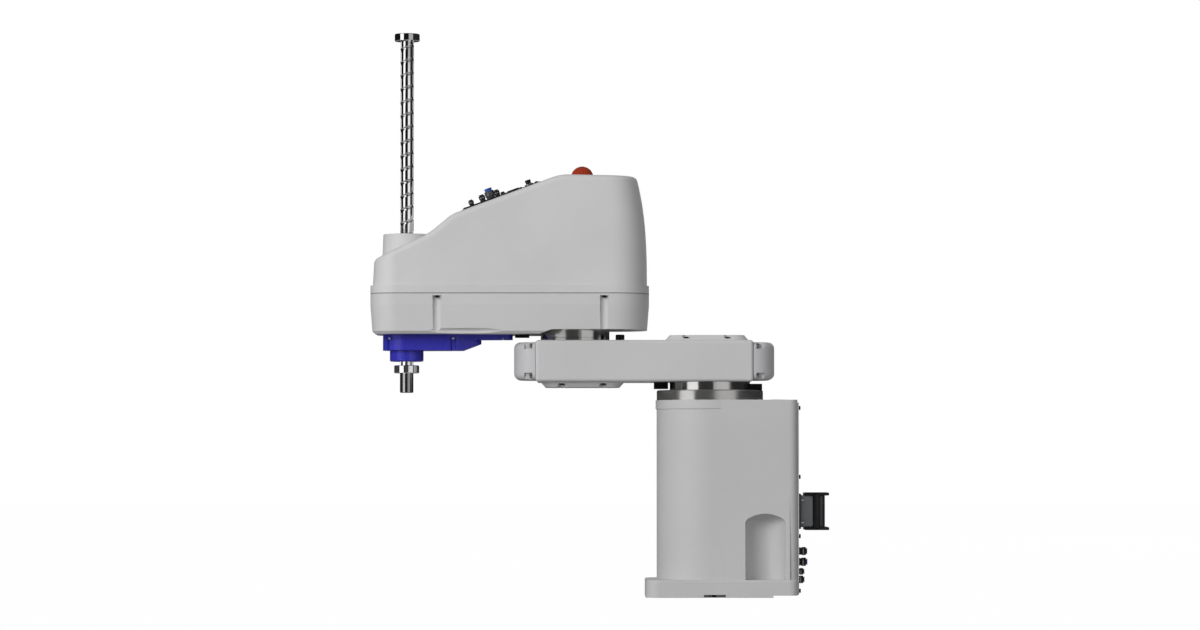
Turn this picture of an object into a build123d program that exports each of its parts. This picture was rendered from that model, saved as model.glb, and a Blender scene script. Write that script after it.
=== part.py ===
from build123d import *
import os
from math import cos, pi, radians, sin, sqrt, tan

# Four-axis horizontal arm robot: a fixed column, two arms that swing in level planes,
# and a ball-screw spline shaft that lifts and turns the tool.
# Millimetres. Origin on the first axis at the mounting face, +Z up, arms reach along -X.

os.makedirs("parts", exist_ok=True)

# Reach and travel
ARM1_LENGTH = 200.0
ARM2_LENGTH = 250.0
Z_STROKE = 330.0
J1_LIMIT = 152.0
J2_LIMIT = 147.5

# Clearances
FIT = 0.05
GAP = 0.3
STOP_GAP = 0.5

# Base column and foot
BASE_HALF_W = 79.0
BASE_BACK = 126.8
BASE_HEIGHT = 290.0
BASE_WALL = 8.0
BASE_FLOOR = 14.0
BASE_TOP_PLATE = 14.0
BASE_CORNER_R = 12.0
COLLAR_PROUD = 1.5
COLLAR_H = 13.0
FOOT_H = 26.0
FOOT_FRONT = 96.0
FOOT_HALF_W = 84.0
FOOT_CORNER_R = 20.0
FOOT_EDGE_R = 2.5
NOTCH_X0, NOTCH_X1 = -11.0, 21.0
NOTCH_H = 4.5
NOTCH_DEPTH = 14.0
REAR_RELIEF_LENGTH = 36.0
REAR_RELIEF_H = 3.3
POCKET_X = 79.0
POCKET_R = 29.5
POCKET_TOP = 123.0
POCKET_CROWN_R, POCKET_RIM_R = 49.0, 9.0
POCKET_WALL = 5.0
FLARE_H = 131.0
FLARE_PROUD = 3.5
FLARE_X_TOP, FLARE_X_BOTTOM = 6.0, 21.0
BOLT_SPACING_X = 160.0
BOLT_SPACING_Y = 120.0
BOLT_HOLE_R = 4.5
PLUG_X, PLUG_R, PLUG_H = 101.0, 10.5, 1.4

# Rear panel and what is mounted on it
PANEL_T = 2.0
PANEL_MARGIN = 9.0
OPENING_MARGIN = 20.0
PANEL_SCREW_R, PANEL_SCREW_H = 3.0, 2.6
SOCKET_Z = 126.0
SOCKET_FLANGE_T = 5.0
SOCKET_FLANGE_H, SOCKET_FLANGE_W = 52.0, 66.0
SOCKET_BODY_L, SOCKET_BODY_H, SOCKET_BODY_W = 21.8, 41.5, 56.0
HOOD_START, HOOD_L, HOOD_H, HOOD_W = 10.2, 36.5, 55.5, 58.0
HOOD_BAR_T = 4.5
HOOD_BACK_L = 14.0
HOOD_LATCH_L = 6.5
FITTING_Z = (67.6, 51.3, 36.4, 23.8)
FITTING_R = (6.3, 6.5, 5.2, 5.9)
FITTING_REACH = (13.2, 14.8, 11.7, 13.1)
FITTING_Y = (-40.0, -14.0, 14.0, 40.0)
FITTING_BORE_R = 2.5

# First joint: reducer, output flange, motor and stops
J1_RING_R, J1_RING_H = 78.8, 14.8
J1_FLANGE_R, J1_FLANGE_H = 59.5, 12.2
J1_SPIGOT_R, J1_SPIGOT_L = 62.0, 28.0
J1_BORE_R, J1_BORE_DEPTH = 48.0, 19.0
RING_CHAMFER = 1.2
CABLE_BORE_R = 14.0
J1_MOTOR_SIZE, J1_MOTOR_L, J1_MOTOR_CAP_L = 60.0, 84.0, 30.0
J1_STOP_R0, J1_STOP_R1 = 62.0, 83.0
J1_STOP_W, J1_STOP_H = 24.0, 10.0
J1_BLOCK_R0, J1_BLOCK_R1, J1_BLOCK_H = 50.0, 77.0, 9.7

# First arm
ARM1_HEIGHT = 61.2
ARM1_HALF_W = 62.0
ARM1_REAR_OVERHANG, ARM1_FRONT_OVERHANG = 94.6, 90.0
ARM1_END_R = 34.0
ARM1_EDGE_R = 4.5
ARM1_WALL = 7.0
CAP_L = 32.0
CAP_INSET = 3.0
CAP_EDGE_R = 9.0
CAP_WALL = 3.0
CAP_SEAM = 0.4
CAP_POCKET_START = 4.5
CAP_POCKET_L, CAP_POCKET_H, CAP_POCKET_DEPTH = 12.0, 10.0, 9.0
HUB_R = 50.0
COVER_PLATE_L, COVER_PLATE_W, COVER_PLATE_R = 124.0, 104.0, 24.0
COVER_PLATE_H = 7.8
COVER_PLATE_SLOPE = 42.0
J1_COVER_X = -5.0
J2_COVER_OFFSET = 11.0
PLATE_SCREW_SPACING = 61.0
PLATE_SCREW_R, PLATE_SCREW_H = 3.2, 2.4
PLATE_SCREW_SINK_R, PLATE_SCREW_INSET = 6.0, 6.5

# Second joint: flange, reducer, motor and stops
J2_RING_R, J2_RING_H = 51.0, 15.8
J2_FLANGE_H = 3.7
J2_SPIGOT_R, J2_SPIGOT_L = 45.0, 26.0
J2_MOTOR_SIZE, J2_MOTOR_L, J2_MOTOR_CAP_L = 60.0, 96.0, 32.0
J2_PIN_R, J2_PIN_ORBIT, J2_PIN_ANGLE = 6.5, 71.0, 20.0
J2_STOP_R0, J2_STOP_R1, J2_STOP_H = 68.0, 89.0, 4.4

# Second arm: lower housing
HOUSING_H = 53.0
NOSE_DROP = 6.5
ARM2_FRONT = 52.4
ARM2_REAR = 109.6
ARM2_HALF_W = 70.0
ARM2_NOSE_R = 40.0
ARM2_REAR_R = 55.0
HOUSING_WALL = 6.0
HOUSING_FLOOR_T = 6.0
HOUSING_WIDEST = 17.0
HOUSING_DRAFT = 4.5
HOUSING_CHAMFER = 4.0
STEP_X0, STEP_X1 = 52.0, 34.0
GROOVE_X = (47.5, 293.4)
GROOVE_R = 6.5
GROOVE_SIDE = 0.5
GROOVE_TOP = 3.5
SCALLOP_X, SCALLOP_CHORD, SCALLOP_H, SCALLOP_DEPTH = 89.0, 108.0, 4.0, 5.0

# Second arm: moulded cover
LIP_H = 12.0
LIP_PROUD = 3.0
COVER_WALL = 3.0
COVER_EDGE_R = 9.0
COVER_DRAFT = 3.0
COVER_REAR_LEAN = 15.6
COVER_SECTIONS = 4
ROOF_OVERRUN = 30.0
COVER_NOSE_H = 49.0
COVER_KINK_X, COVER_KINK_H = 34.5, 88.4
COVER_CREST_X, COVER_CREST_H = 68.4, 116.9
COVER_SLOPE = 20.3
COVER_TOP_H = 173.2
TOP_RISE, TOP_FALL = 3.0, 0.02
COVER_KINK_R, COVER_CREST_R, COVER_TOP_R = 110.0, 45.0, 70.0
BOSS_TOP_R, BOSS_BOTTOM_R = 35.0, 37.6
BOSS_TOP = 89.6
BOSS_ROOT = 20.0
BOSS_WALL = 3.4
BOSS_CAP_T = 4.0
BOSS_HOLE_R = 21.0
RIB_T = 2.5
RIB_H = 12.0
RIB_REAR = 36.0

# Top of the cover: user panel, fittings, button and lamp
USER_PLATE_L, USER_PLATE_W, USER_PLATE_T = 124.0, 72.0, 2.0
USER_PLATE_START = 15.3
USER_PLATE_R = 6.0
USER_S = (32.6, 50.1, 73.1, 81.1)
USER_Y = (-20.0, -22.0, -14.0, 16.0)
USER_R = (4.1, 4.9, 4.6, 3.6)
USER_H = (10.5, 12.0, 12.0, 8.0)
BIG_FITTING_S, BIG_FITTING_Y, BIG_FITTING_R, BIG_FITTING_H = 62.6, 8.0, 7.4, 19.5
BUTTON_S, BUTTON_Y, BUTTON_R, BUTTON_H = 122.3, -12.0, 4.4, 3.0
BUTTON_TRAVEL = 3.0
BUTTON_COLLAR_R, BUTTON_COLLAR_H = 6.5, 3.0
BUTTON_STEM_R, BUTTON_STEM_L = 4.0, 12.0
LAMP_X, LAMP_R, LAMP_H = 260.5, 16.8, 15.0
LAMP_STEM_R, LAMP_STEM_L = 9.0, 9.0
ROOF_HOLE_H = 20.0

# Blue nut housing under the nose
NUT_BODY_R = 35.3
NUT_BODY_H = 23.5
NUT_FLANGE_H = 7.8
NUT_BOSS_R, NUT_BOSS_H = 25.0, 16.3
NUT_BOSS_CHAMFER = 1.5
NUT_WAIST_X, NUT_WAIST_R = 65.0, 29.0
NUT_TAIL_X, NUT_TAIL_R = 98.0, 13.0
NUT_TONGUE_X, NUT_TONGUE_R = 145.5, 12.0
NUT_SLOPE_X0, NUT_SLOPE_X1, NUT_SLOPE_RISE = 84.0, 112.0, 10.0
NUT_SCREW_R, NUT_SCREW_H, NUT_SCOOP_R = 2.6, 2.5, 4.2
NUT_SCREW_SEAT = 5.0
NUT_FRONT_SCREW_X, NUT_FRONT_SCREW_Y = -24.0, 24.5
NUT_SIDE_SCREW_X, NUT_SIDE_SCREW_Y = 70.0, 28.0
NUT_TAIL_SCREW_IN, NUT_TAIL_SCREW_Y = 3.0, 9.0

# Shaft, collars, nuts, bearings and belts
SHAFT_R = 10.0
SHAFT_BORE_R = 7.0
SHAFT_TIP = 29.0
TIP_CHAMFER = 0.8
NECK_DEPTH, NECK_H, NECK_DROP = 0.3, 1.4, 0.8
SPLINE_GROOVES = 3
SPLINE_GROOVE_R = 1.8
COLLAR_R, COLLAR_T = 18.6, 11.6
TOP_COLLAR_T = 10.8
COLLAR_CHAMFER = 0.8
COLLAR_REST_GAP = 5.7
SPLINE_NUT_R = 16.0
BEARING_T = 16.0
SPLINE_BEARING_R = 22.0
BALL_NUT_R = 18.0
BALL_NUT_RISE = 24.9
BALL_NUT_BEARING_R = 27.0
PULLEY_W = 16.0
PULLEY_FLANGE_T = 1.5
PULLEY_FLANGE_PROUD = 2.0
TOOTH_PITCH = 5.0
TOOTH_DEPTH = 1.6
BELT_T = 2.2
BELT_W = 11.0
J4_NUT_PULLEY_R, J4_MOTOR_PULLEY_R = 27.0, 13.0
J3_PULLEY_R = 27.0
J4_MOTOR_X, J3_MOTOR_X = 82.0, 153.0
J4_MOTOR_SIZE, J4_MOTOR_L, J4_MOTOR_CAP_L = 40.0, 62.0, 22.0
J3_MOTOR_SIZE, J3_MOTOR_L, J3_BRAKE_L = 56.0, 68.0, 24.0
MOTOR_SHAFT_R = 4.0
MOTOR_SHAFT_SINK = 10.0
BRACKET_T = 8.0
BRACKET_HALF_W = 46.0
BRACKET_POST_R = 6.0
BRACKET_X0, BRACKET_X1 = -34.0, 108.0
MOTOR_PLATE_T = 6.0
MOTOR_PLATE_HALF_L, MOTOR_PLATE_HALF_W = 38.0, 46.0

# Places worked out from the sizes above
J2_X = -ARM1_LENGTH
SHAFT_X = J2_X - ARM2_LENGTH
Z_RING = BASE_HEIGHT
Z_FLANGE = Z_RING + J1_RING_H
Z_ARM1 = Z_FLANGE + J1_FLANGE_H
Z_ARM1_TOP = Z_ARM1 + ARM1_HEIGHT
Z_ARM2 = Z_ARM1_TOP + J2_RING_H
Z_NOSE = Z_ARM2 - NOSE_DROP
Z_FLOOR = Z_ARM2 + HOUSING_FLOOR_T
Z_SEAM = Z_ARM2 + HOUSING_H
PANEL_FACE = BASE_BACK + PANEL_T
ARM2_X0 = SHAFT_X - ARM2_FRONT
ARM2_X1 = J2_X + ARM2_REAR
CREST_X = SHAFT_X + COVER_CREST_X
CREST_Z = Z_SEAM + COVER_CREST_H
SLOPE_END_X = CREST_X + (COVER_TOP_H + TOP_RISE - COVER_CREST_H) / tan(radians(COVER_SLOPE))
Z_NUT_BODY = Z_NOSE - NUT_BODY_H
Z_NUT_BOSS = Z_NUT_BODY - NUT_BOSS_H
Z_J4_PULLEY = Z_FLOOR + 1.0
Z_BRACKET = Z_J4_PULLEY + PULLEY_W + 9.0
Z_BRACKET_TOP = Z_BRACKET + BRACKET_T
Z_J3_PULLEY = Z_BRACKET_TOP + BEARING_T - BRACKET_T + 6.0
Z_MOTOR_PLATE = Z_J3_PULLEY + PULLEY_W + 3.0
Z_MOTOR_PLATE_TOP = Z_MOTOR_PLATE + MOTOR_PLATE_T
Z_BALL_NUT_TOP = Z_J3_PULLEY + PULLEY_W + BALL_NUT_RISE
Z_COLLAR_TOP = Z_NUT_BOSS - COLLAR_REST_GAP
Z_SHAFT_END = Z_COLLAR_TOP - COLLAR_T - SHAFT_TIP
Z_TOP_COLLAR = Z_BALL_NUT_TOP + COLLAR_REST_GAP + Z_STROKE
Z_SHAFT_TOP = Z_TOP_COLLAR + TOP_COLLAR_T


def save(node, shape):
    export_step(shape, "parts/" + node + ".step")


def disc(r, z0, z1, x=0.0, y=0.0):
    upright = (Align.CENTER, Align.CENTER, Align.MIN)
    return Pos(x, y, z0) * Cylinder(r, z1 - z0, align=upright)


def ring(r_out, r_in, z0, z1, x=0.0, y=0.0):
    return disc(r_out, z0, z1, x, y) - disc(r_in, z0 - 1, z1 + 1, x, y)


def block(x0, x1, y0, y1, z0, z1):
    centre = Pos((x0 + x1) / 2, (y0 + y1) / 2, (z0 + z1) / 2)
    return centre * Box(x1 - x0, y1 - y0, z1 - z0)


def both_sides(shape):
    return shape + mirror(shape, about=Plane.XZ)


def group(solids):
    """Separate solids that share one node."""
    return Compound(children=[s for shape in solids for s in shape.solids()])


def rounded_plan(x0, x1, half_w, r_front, r_rear):
    """A level rectangle with one radius at its low X corners and another at the others."""
    plan = Pos((x0 + x1) / 2, 0) * Rectangle(x1 - x0, 2 * half_w)
    plan = fillet(plan.vertices().group_by(Axis.X)[0], r_front)
    return fillet(plan.vertices().group_by(Axis.X)[-1], r_rear)


def rise(plan, z0, z1, taper=0.0):
    return Pos(0, 0, z0) * extrude(plan, z1 - z0, taper=taper)


def side_cut(points, half_w):
    """A prism across the robot from an outline in the XZ plane."""
    face = Plane.XZ * make_face(Polyline(*points, close=True))
    return extrude(face, half_w, both=True)


def level_edges(shape, z):
    return shape.edges().filter_by_position(Axis.Z, z - 0.01, z + 0.01)


def cap_screw(r, h):
    """A socket head screw's head, seated at z = 0 and pointing up."""
    socket = Pos(0, 0, h * 0.45) * extrude(RegularPolygon(r * 0.5, 6), h)
    return disc(r, 0, h) - socket


# Base


def base_plan(inset=0.0):
    r = BASE_HALF_W - inset
    back = BASE_BACK - inset
    plan = Circle(r) + Pos(back / 2, 0) * Rectangle(back, 2 * r)
    corners = plan.vertices().group_by(Axis.X)[-1]
    return fillet(corners, BASE_CORNER_R - inset * 0.5)


def bolt_pocket(grow=0.0):
    """The domed scoop that leaves room for a mounting bolt beside the column."""
    r, crown_r = POCKET_R + grow, POCKET_CROWN_R + grow
    z_top = POCKET_TOP + grow
    z_low = FOOT_H if grow == 0.0 else BASE_FLOOR - 1
    z_rim = z_top - crown_r + sqrt(crown_r ** 2 - r ** 2)
    z_crown = z_top - crown_r
    crown = Pos(0, 0, z_crown) * Sphere(crown_r)
    scoop = disc(r, z_crown, z_top) & crown
    scoop = fillet(level_edges(scoop, z_rim), POCKET_RIM_R + grow) + disc(r, z_low, z_crown)
    return both_sides(Pos(POCKET_X, BASE_HALF_W, 0) * Rot(0, 0, 90) * scoop)


def side_flare():
    """The lower rear of each side stands out towards the foot."""
    z0 = FOOT_H - 1
    z1 = FOOT_H + FLARE_H
    y0 = BASE_HALF_W - 4
    outline = [(y0, z1), (BASE_HALF_W, z1), (BASE_HALF_W + FLARE_PROUD, z0), (y0, z0)]
    face = Plane.YZ * make_face(Polyline(*outline, close=True))
    wedge = Pos(FLARE_X_TOP, 0, 0) * extrude(face, BASE_BACK - BASE_CORNER_R - FLARE_X_TOP)
    front = [(FLARE_X_TOP - 1, z1 + 1), (FLARE_X_TOP, z1), (FLARE_X_BOTTOM, z0), (FLARE_X_TOP - 1, z0)]
    return both_sides(wedge - side_cut(front, FOOT_HALF_W * 2))


def base_column():
    plan = rounded_plan(-FOOT_FRONT, BASE_BACK, FOOT_HALF_W, FOOT_CORNER_R, BASE_CORNER_R)
    foot = extrude(plan, FOOT_H)
    foot = fillet(level_edges(foot, FOOT_H), FOOT_EDGE_R)
    column = rise(base_plan(), 0, BASE_HEIGHT)
    collar = disc(BASE_HALF_W + COLLAR_PROUD, BASE_HEIGHT - COLLAR_H, BASE_HEIGHT)
    body = column + collar + foot + side_flare()
    z_plate = BASE_HEIGHT - BASE_TOP_PLATE
    cavity = rise(base_plan(BASE_WALL), BASE_FLOOR, z_plate)
    body -= cavity - bolt_pocket(POCKET_WALL)
    body -= disc(J1_SPIGOT_R + FIT, z_plate - 1, BASE_HEIGHT + 1)
    half_w = BASE_HALF_W - OPENING_MARGIN
    body -= block(BASE_BACK - BASE_WALL - 2, BASE_BACK + 1, -half_w, half_w, BASE_FLOOR, z_plate - 6)
    body -= bolt_pocket()
    for sx in (-1, 1):
        for sy in (-1, 1):
            body -= disc(BOLT_HOLE_R, -1, FOOT_H + 1, sx * BOLT_SPACING_X / 2, sy * BOLT_SPACING_Y / 2)
    y0 = FOOT_HALF_W - NOTCH_DEPTH
    body -= both_sides(block(NOTCH_X0, NOTCH_X1, y0, FOOT_HALF_W + 9, -1, NOTCH_H))
    x0 = BASE_BACK - REAR_RELIEF_LENGTH
    body -= block(x0, BASE_BACK + 1, -FOOT_HALF_W - 1, FOOT_HALF_W + 1, -1, REAR_RELIEF_H)
    return body


def rear_panel():
    half_w = BASE_HALF_W - PANEL_MARGIN
    z0, z1 = REAR_RELIEF_H + 1.0, BASE_HEIGHT - 4.0
    panel = block(BASE_BACK, PANEL_FACE, -half_w, half_w, z0, z1)
    panel = fillet(panel.edges().filter_by(Axis.X), 5.0)
    window_w = SOCKET_BODY_W / 2 - 2
    window_h = SOCKET_BODY_H / 2 - 2
    panel -= block(BASE_BACK - 1, PANEL_FACE + 1, -window_w, window_w, SOCKET_Z - window_h,
                   SOCKET_Z + window_h)
    return panel


def on_panel(shape, y, z):
    """Lay a shape that points up onto the rear panel, pointing back."""
    return Pos(PANEL_FACE, y, z) * Rot(0, 90, 0) * shape


def rear_panel_screws():
    half_w = BASE_HALF_W - PANEL_MARGIN - 6
    rows = (10.0, BASE_HEIGHT * 0.31, BASE_HEIGHT * 0.61, BASE_HEIGHT - 12.0)
    screw = cap_screw(PANEL_SCREW_R, PANEL_SCREW_H)
    return group([on_panel(screw, s * half_w, z) for z in rows for s in (-1, 1)])


def power_socket():
    flange = block(PANEL_FACE, PANEL_FACE + SOCKET_FLANGE_T, -SOCKET_FLANGE_W / 2,
                   SOCKET_FLANGE_W / 2, SOCKET_Z - SOCKET_FLANGE_H / 2, SOCKET_Z + SOCKET_FLANGE_H / 2)
    x1 = PANEL_FACE + SOCKET_FLANGE_T + SOCKET_BODY_L
    body = block(PANEL_FACE, x1, -SOCKET_BODY_W / 2, SOCKET_BODY_W / 2,
                 SOCKET_Z - SOCKET_BODY_H / 2, SOCKET_Z + SOCKET_BODY_H / 2)
    body = fillet(body.edges().filter_by(Axis.X), 5.0)
    return flange + body


def socket_hood():
    """The lever hood that closes over the socket, with a bar at its top and bottom."""
    x0 = PANEL_FACE + HOOD_START
    x1 = x0 + HOOD_L
    hw, hh = HOOD_W / 2, HOOD_H / 2
    z0, z1 = SOCKET_Z - hh, SOCKET_Z + hh
    x_body = x0 + HOOD_BACK_L
    body = block(x0, x_body, -hw, hw, z0 + HOOD_BAR_T / 2, z1 - HOOD_BAR_T / 2)
    for z in (z0, z1 - HOOD_BAR_T):
        bar = block(x0, x1 - HOOD_BAR_T / 2, -hw, hw, z, z + HOOD_BAR_T)
        nose = Pos(x1 - HOOD_BAR_T / 2, 0, z + HOOD_BAR_T / 2) * Rot(90, 0, 0) * Cylinder(
            HOOD_BAR_T / 2, HOOD_W)
        body += bar + nose
    web = block(x_body - 1, x1 - HOOD_BAR_T - 3, -hw + 4, hw - 4, z0 + HOOD_BAR_T / 2, z1 - HOOD_BAR_T / 2)
    x_latch = x_body + 4.5
    latch = block(x_latch, x_latch + HOOD_LATCH_L, -hw, hw, z0 + HOOD_BAR_T / 2, z1 - HOOD_BAR_T / 2)
    body += web + latch
    gap_w = SOCKET_BODY_W / 2 + FIT
    gap_h = SOCKET_BODY_H / 2 + FIT
    x_deep = PANEL_FACE + SOCKET_FLANGE_T + SOCKET_BODY_L + FIT
    return body - block(x0 - 1, x_deep, -gap_w, gap_w, SOCKET_Z - gap_h, SOCKET_Z + gap_h)


def socket_screws():
    screw = cap_screw(2.2, 1.6)
    dy = SOCKET_FLANGE_W / 2 - 3.0
    dz = SOCKET_FLANGE_H / 2 - 3.0
    seat = Pos(SOCKET_FLANGE_T, 0, 0)
    return group([seat * on_panel(screw, sy * dy, SOCKET_Z + sz * dz) for sy in (-1, 1) for sz in (-1, 1)])


def air_fitting(r, reach):
    """A push-in fitting: hexagon root, round body and a release sleeve."""
    hexagon = extrude(RegularPolygon(r, 6), reach * 0.3)
    body = disc(r, reach * 0.3, reach * 0.85)
    sleeve = disc(r * 0.68, reach * 0.85, reach)
    return hexagon + body + sleeve - disc(FITTING_BORE_R, reach * 0.4, reach + 1)


def rear_fittings(which):
    return group([on_panel(air_fitting(FITTING_R[i], FITTING_REACH[i]), FITTING_Y[i], FITTING_Z[i])
                  for i in which])


def foot_screws():
    """Small screws that look down out of the side notches."""
    screw = Pos(0, 0, NOTCH_H) * Rot(180, 0, 0) * cap_screw(3.0, 3.5)
    x = (NOTCH_X0 + NOTCH_X1) / 2 - 1.0
    return group([Pos(x, s * (FOOT_HALF_W - 7.0), 0) * screw for s in (-1, 1)])


# First joint


def j1_reducer():
    case = disc(J1_RING_R, Z_RING, Z_FLANGE)
    case = chamfer(level_edges(case, Z_FLANGE), RING_CHAMFER)
    case += disc(J1_SPIGOT_R, Z_RING - J1_SPIGOT_L, Z_RING)
    case -= disc(J1_BORE_R, Z_FLANGE - J1_BORE_DEPTH, Z_FLANGE + 1)
    return case - disc(CABLE_BORE_R, Z_RING - J1_SPIGOT_L - 1, Z_FLANGE)


def j1_output_flange():
    z0 = Z_FLANGE - J1_BORE_DEPTH + GAP
    flange = disc(J1_FLANGE_R, Z_FLANGE + GAP, Z_ARM1)
    return flange + disc(J1_BORE_R - GAP, z0, Z_FLANGE + GAP) - disc(CABLE_BORE_R, z0 - 1, Z_ARM1 + 1)


def motor(size, length, cap_length, cap_share=0.86):
    """A square servo motor standing on its flange at z = 0, with its encoder cap on top."""
    square = fillet(Rectangle(size, size).vertices(), size * 0.1)
    cap = fillet(Rectangle(size * cap_share, size * cap_share).vertices(), size * 0.14)
    body = extrude(square, length) + rise(cap, length, length + cap_length)
    return body - disc(MOTOR_SHAFT_R + FIT, -1, MOTOR_SHAFT_SINK + 1)


def j1_motor():
    body = motor(J1_MOTOR_SIZE, J1_MOTOR_L, J1_MOTOR_CAP_L)
    return Pos(0, 0, Z_RING - J1_SPIGOT_L) * Rot(180, 0, 0) * body


def j1_moving_stop():
    z0 = Z_ARM1 - J1_STOP_H
    stop = block(-J1_STOP_R1, -J1_STOP_R0, -J1_STOP_W / 2, J1_STOP_W / 2, z0, Z_ARM1)
    return chamfer(stop.edges().filter_by(Axis.Z), 1.5)


def j1_fixed_stop():
    """As wide as the moving stop leaves it at the end of the first joint's travel."""
    free = radians(180.0 - J1_LIMIT)
    half_w = J1_STOP_R0 * sin(free) - J1_STOP_W / 2 * cos(free) - STOP_GAP
    r0 = J1_FLANGE_R + GAP
    stop = block(J1_BLOCK_R0, J1_BLOCK_R1, -half_w, half_w, Z_FLANGE, Z_FLANGE + J1_BLOCK_H)
    slot = block(J1_BLOCK_R1 - 4, J1_BLOCK_R1 + 1, -2.0, 2.0, Z_FLANGE - 1, Z_FLANGE + J1_BLOCK_H + 1)
    stop -= disc(r0, Z_FLANGE - 1, Z_FLANGE + J1_BLOCK_H + 1)
    return stop - slot


# First arm


def arm1_casting():
    x0 = J2_X - ARM1_FRONT_OVERHANG + CAP_L
    x1 = ARM1_REAR_OVERHANG - CAP_L
    z0, z1 = Z_ARM1 - 1, Z_ARM1_TOP + 1
    body = block(x0, x1, -ARM1_HALF_W, ARM1_HALF_W, Z_ARM1, Z_ARM1_TOP)
    body = fillet(body.edges(), ARM1_EDGE_R)
    inner = ARM1_HALF_W - ARM1_WALL
    cavity = block(x0 - 1, x1 + 1, -inner, inner, Z_ARM1 + ARM1_WALL, Z_ARM1_TOP - ARM1_WALL)
    for x in (0.0, J2_X):
        cavity -= disc(HUB_R, Z_ARM1, Z_ARM1_TOP, x)
    mid = J2_X / 2
    spread = ARM1_LENGTH / 2 - HUB_R * 0.8
    for x in (mid - spread, mid, mid + spread):
        cavity -= block(x - 2.5, x + 2.5, -inner, inner, Z_ARM1, Z_ARM1 + ARM1_WALL + 14)
    body -= cavity
    for x in (0.0, J2_X):
        body -= disc(CABLE_BORE_R, z0, z1, x)
        body -= block(x - 9, x + 9, -HUB_R - 2, HUB_R + 2, Z_ARM1 + 18, Z_ARM1_TOP - 18)
    return body


def front_end(piece):
    """Turns a piece built about the first joint round to the second joint's end of the arm."""
    return Pos(J2_X, 0, 0) * Rot(0, 0, 180) * piece


def arm1_cap(overhang):
    """The moulded end cap of an end that reaches this far past its joint, built about the joint."""
    half_w = ARM1_HALF_W - CAP_INSET
    z0, z1 = Z_ARM1 + CAP_INSET, Z_ARM1_TOP - CAP_INSET
    seam = overhang - CAP_L
    plan = rounded_plan(-ARM1_END_R, overhang, half_w, ARM1_END_R, ARM1_END_R)
    body = rise(plan, z0, z1)
    body = fillet(level_edges(body, z0) + level_edges(body, z1), CAP_EDGE_R)
    body &= block(seam + CAP_SEAM, overhang + 1, -half_w, half_w, z0, z1)
    inner = half_w - CAP_POCKET_DEPTH - CAP_WALL
    hollow = rounded_plan(seam, overhang - CAP_WALL, inner, 1.0, ARM1_END_R - CAP_POCKET_DEPTH - CAP_WALL)
    body -= rise(hollow, z0 + CAP_WALL, z1 - CAP_WALL)
    x0 = seam + CAP_POCKET_START
    y0 = half_w - CAP_POCKET_DEPTH
    for low in (z0, z1 - CAP_POCKET_H):
        body -= both_sides(block(x0, x0 + CAP_POCKET_L, y0, half_w, low, low + CAP_POCKET_H))
    return body


def cap_screws_for(overhang):
    """One screw in each corner pocket of the cap, holding it to the arm."""
    screw = Rot(0, 90, 0) * cap_screw(3.0, 4.0)
    x = overhang - CAP_L + CAP_POCKET_START
    y = ARM1_HALF_W - CAP_INSET - CAP_POCKET_DEPTH / 2 - 1.0
    low = Z_ARM1 + CAP_INSET + CAP_POCKET_H / 2
    high = Z_ARM1_TOP - CAP_INSET - CAP_POCKET_H / 2
    return [Pos(x, s * y, z) * screw for z in (low, high) for s in (-1, 1)]


def arm1_cap_screws():
    front = [front_end(screw) for screw in cap_screws_for(ARM1_FRONT_OVERHANG)]
    return group(cap_screws_for(ARM1_REAR_OVERHANG) + front)


def plate_screw_spots():
    half = PLATE_SCREW_SPACING / 2
    y = COVER_PLATE_W / 2 - PLATE_SCREW_INSET
    return [(sx * half, sy * y) for sx in (-1, 1) for sy in (-1, 1)]


def cover_plate():
    """A shallow cover with a sloped rim, its mounting face at z = 0."""
    half = COVER_PLATE_L / 2
    plan = rounded_plan(-half, half, COVER_PLATE_W / 2, COVER_PLATE_R, COVER_PLATE_R)
    plate = extrude(plan, COVER_PLATE_H, taper=COVER_PLATE_SLOPE)
    for x, y in plate_screw_spots():
        plate -= disc(PLATE_SCREW_SINK_R, 2.4, COVER_PLATE_H + 1, x, y)
    return plate


def j1_top_cover():
    return Pos(J1_COVER_X, 0, Z_ARM1_TOP) * cover_plate()


def j2_bottom_cover():
    return Pos(J2_X + J2_COVER_OFFSET, 0, Z_ARM1) * Rot(180, 0, 0) * cover_plate()


def cover_plate_screws():
    screws = [Pos(x, y, 2.4) * cap_screw(PLATE_SCREW_R, PLATE_SCREW_H) for x, y in plate_screw_spots()]
    top = [Pos(J1_COVER_X, 0, Z_ARM1_TOP) * s for s in screws]
    low = [Pos(J2_X + J2_COVER_OFFSET, 0, Z_ARM1) * Rot(180, 0, 0) * s for s in screws]
    return group(top + low)


# Second joint


def j2_output_flange():
    z1 = Z_ARM1_TOP + J2_FLANGE_H
    return ring(J2_RING_R, CABLE_BORE_R, Z_ARM1_TOP, z1, J2_X)


def j2_reducer():
    z0 = Z_ARM1_TOP + J2_FLANGE_H + GAP
    case = disc(J2_RING_R, z0, Z_ARM2, J2_X) + disc(J2_SPIGOT_R, Z_ARM2, Z_ARM2 + J2_SPIGOT_L, J2_X)
    return case - disc(CABLE_BORE_R, z0 - 1, Z_ARM2 + J2_SPIGOT_L - 6, J2_X)


def j2_motor():
    z0 = Z_ARM2 + J2_SPIGOT_L
    return Pos(J2_X, 0, z0) * motor(J2_MOTOR_SIZE, J2_MOTOR_L, J2_MOTOR_CAP_L)


def j2_stop_pins():
    pins = []
    for s in (-1, 1):
        angle = radians(s * J2_PIN_ANGLE)
        x = J2_X + J2_PIN_ORBIT * cos(angle)
        y = J2_PIN_ORBIT * sin(angle)
        pin = disc(J2_PIN_R, Z_ARM1_TOP, Z_NOSE - STOP_GAP, x, y)
        pins.append(chamfer(level_edges(pin, Z_NOSE - STOP_GAP), 0.8))
    return group(pins)


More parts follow.
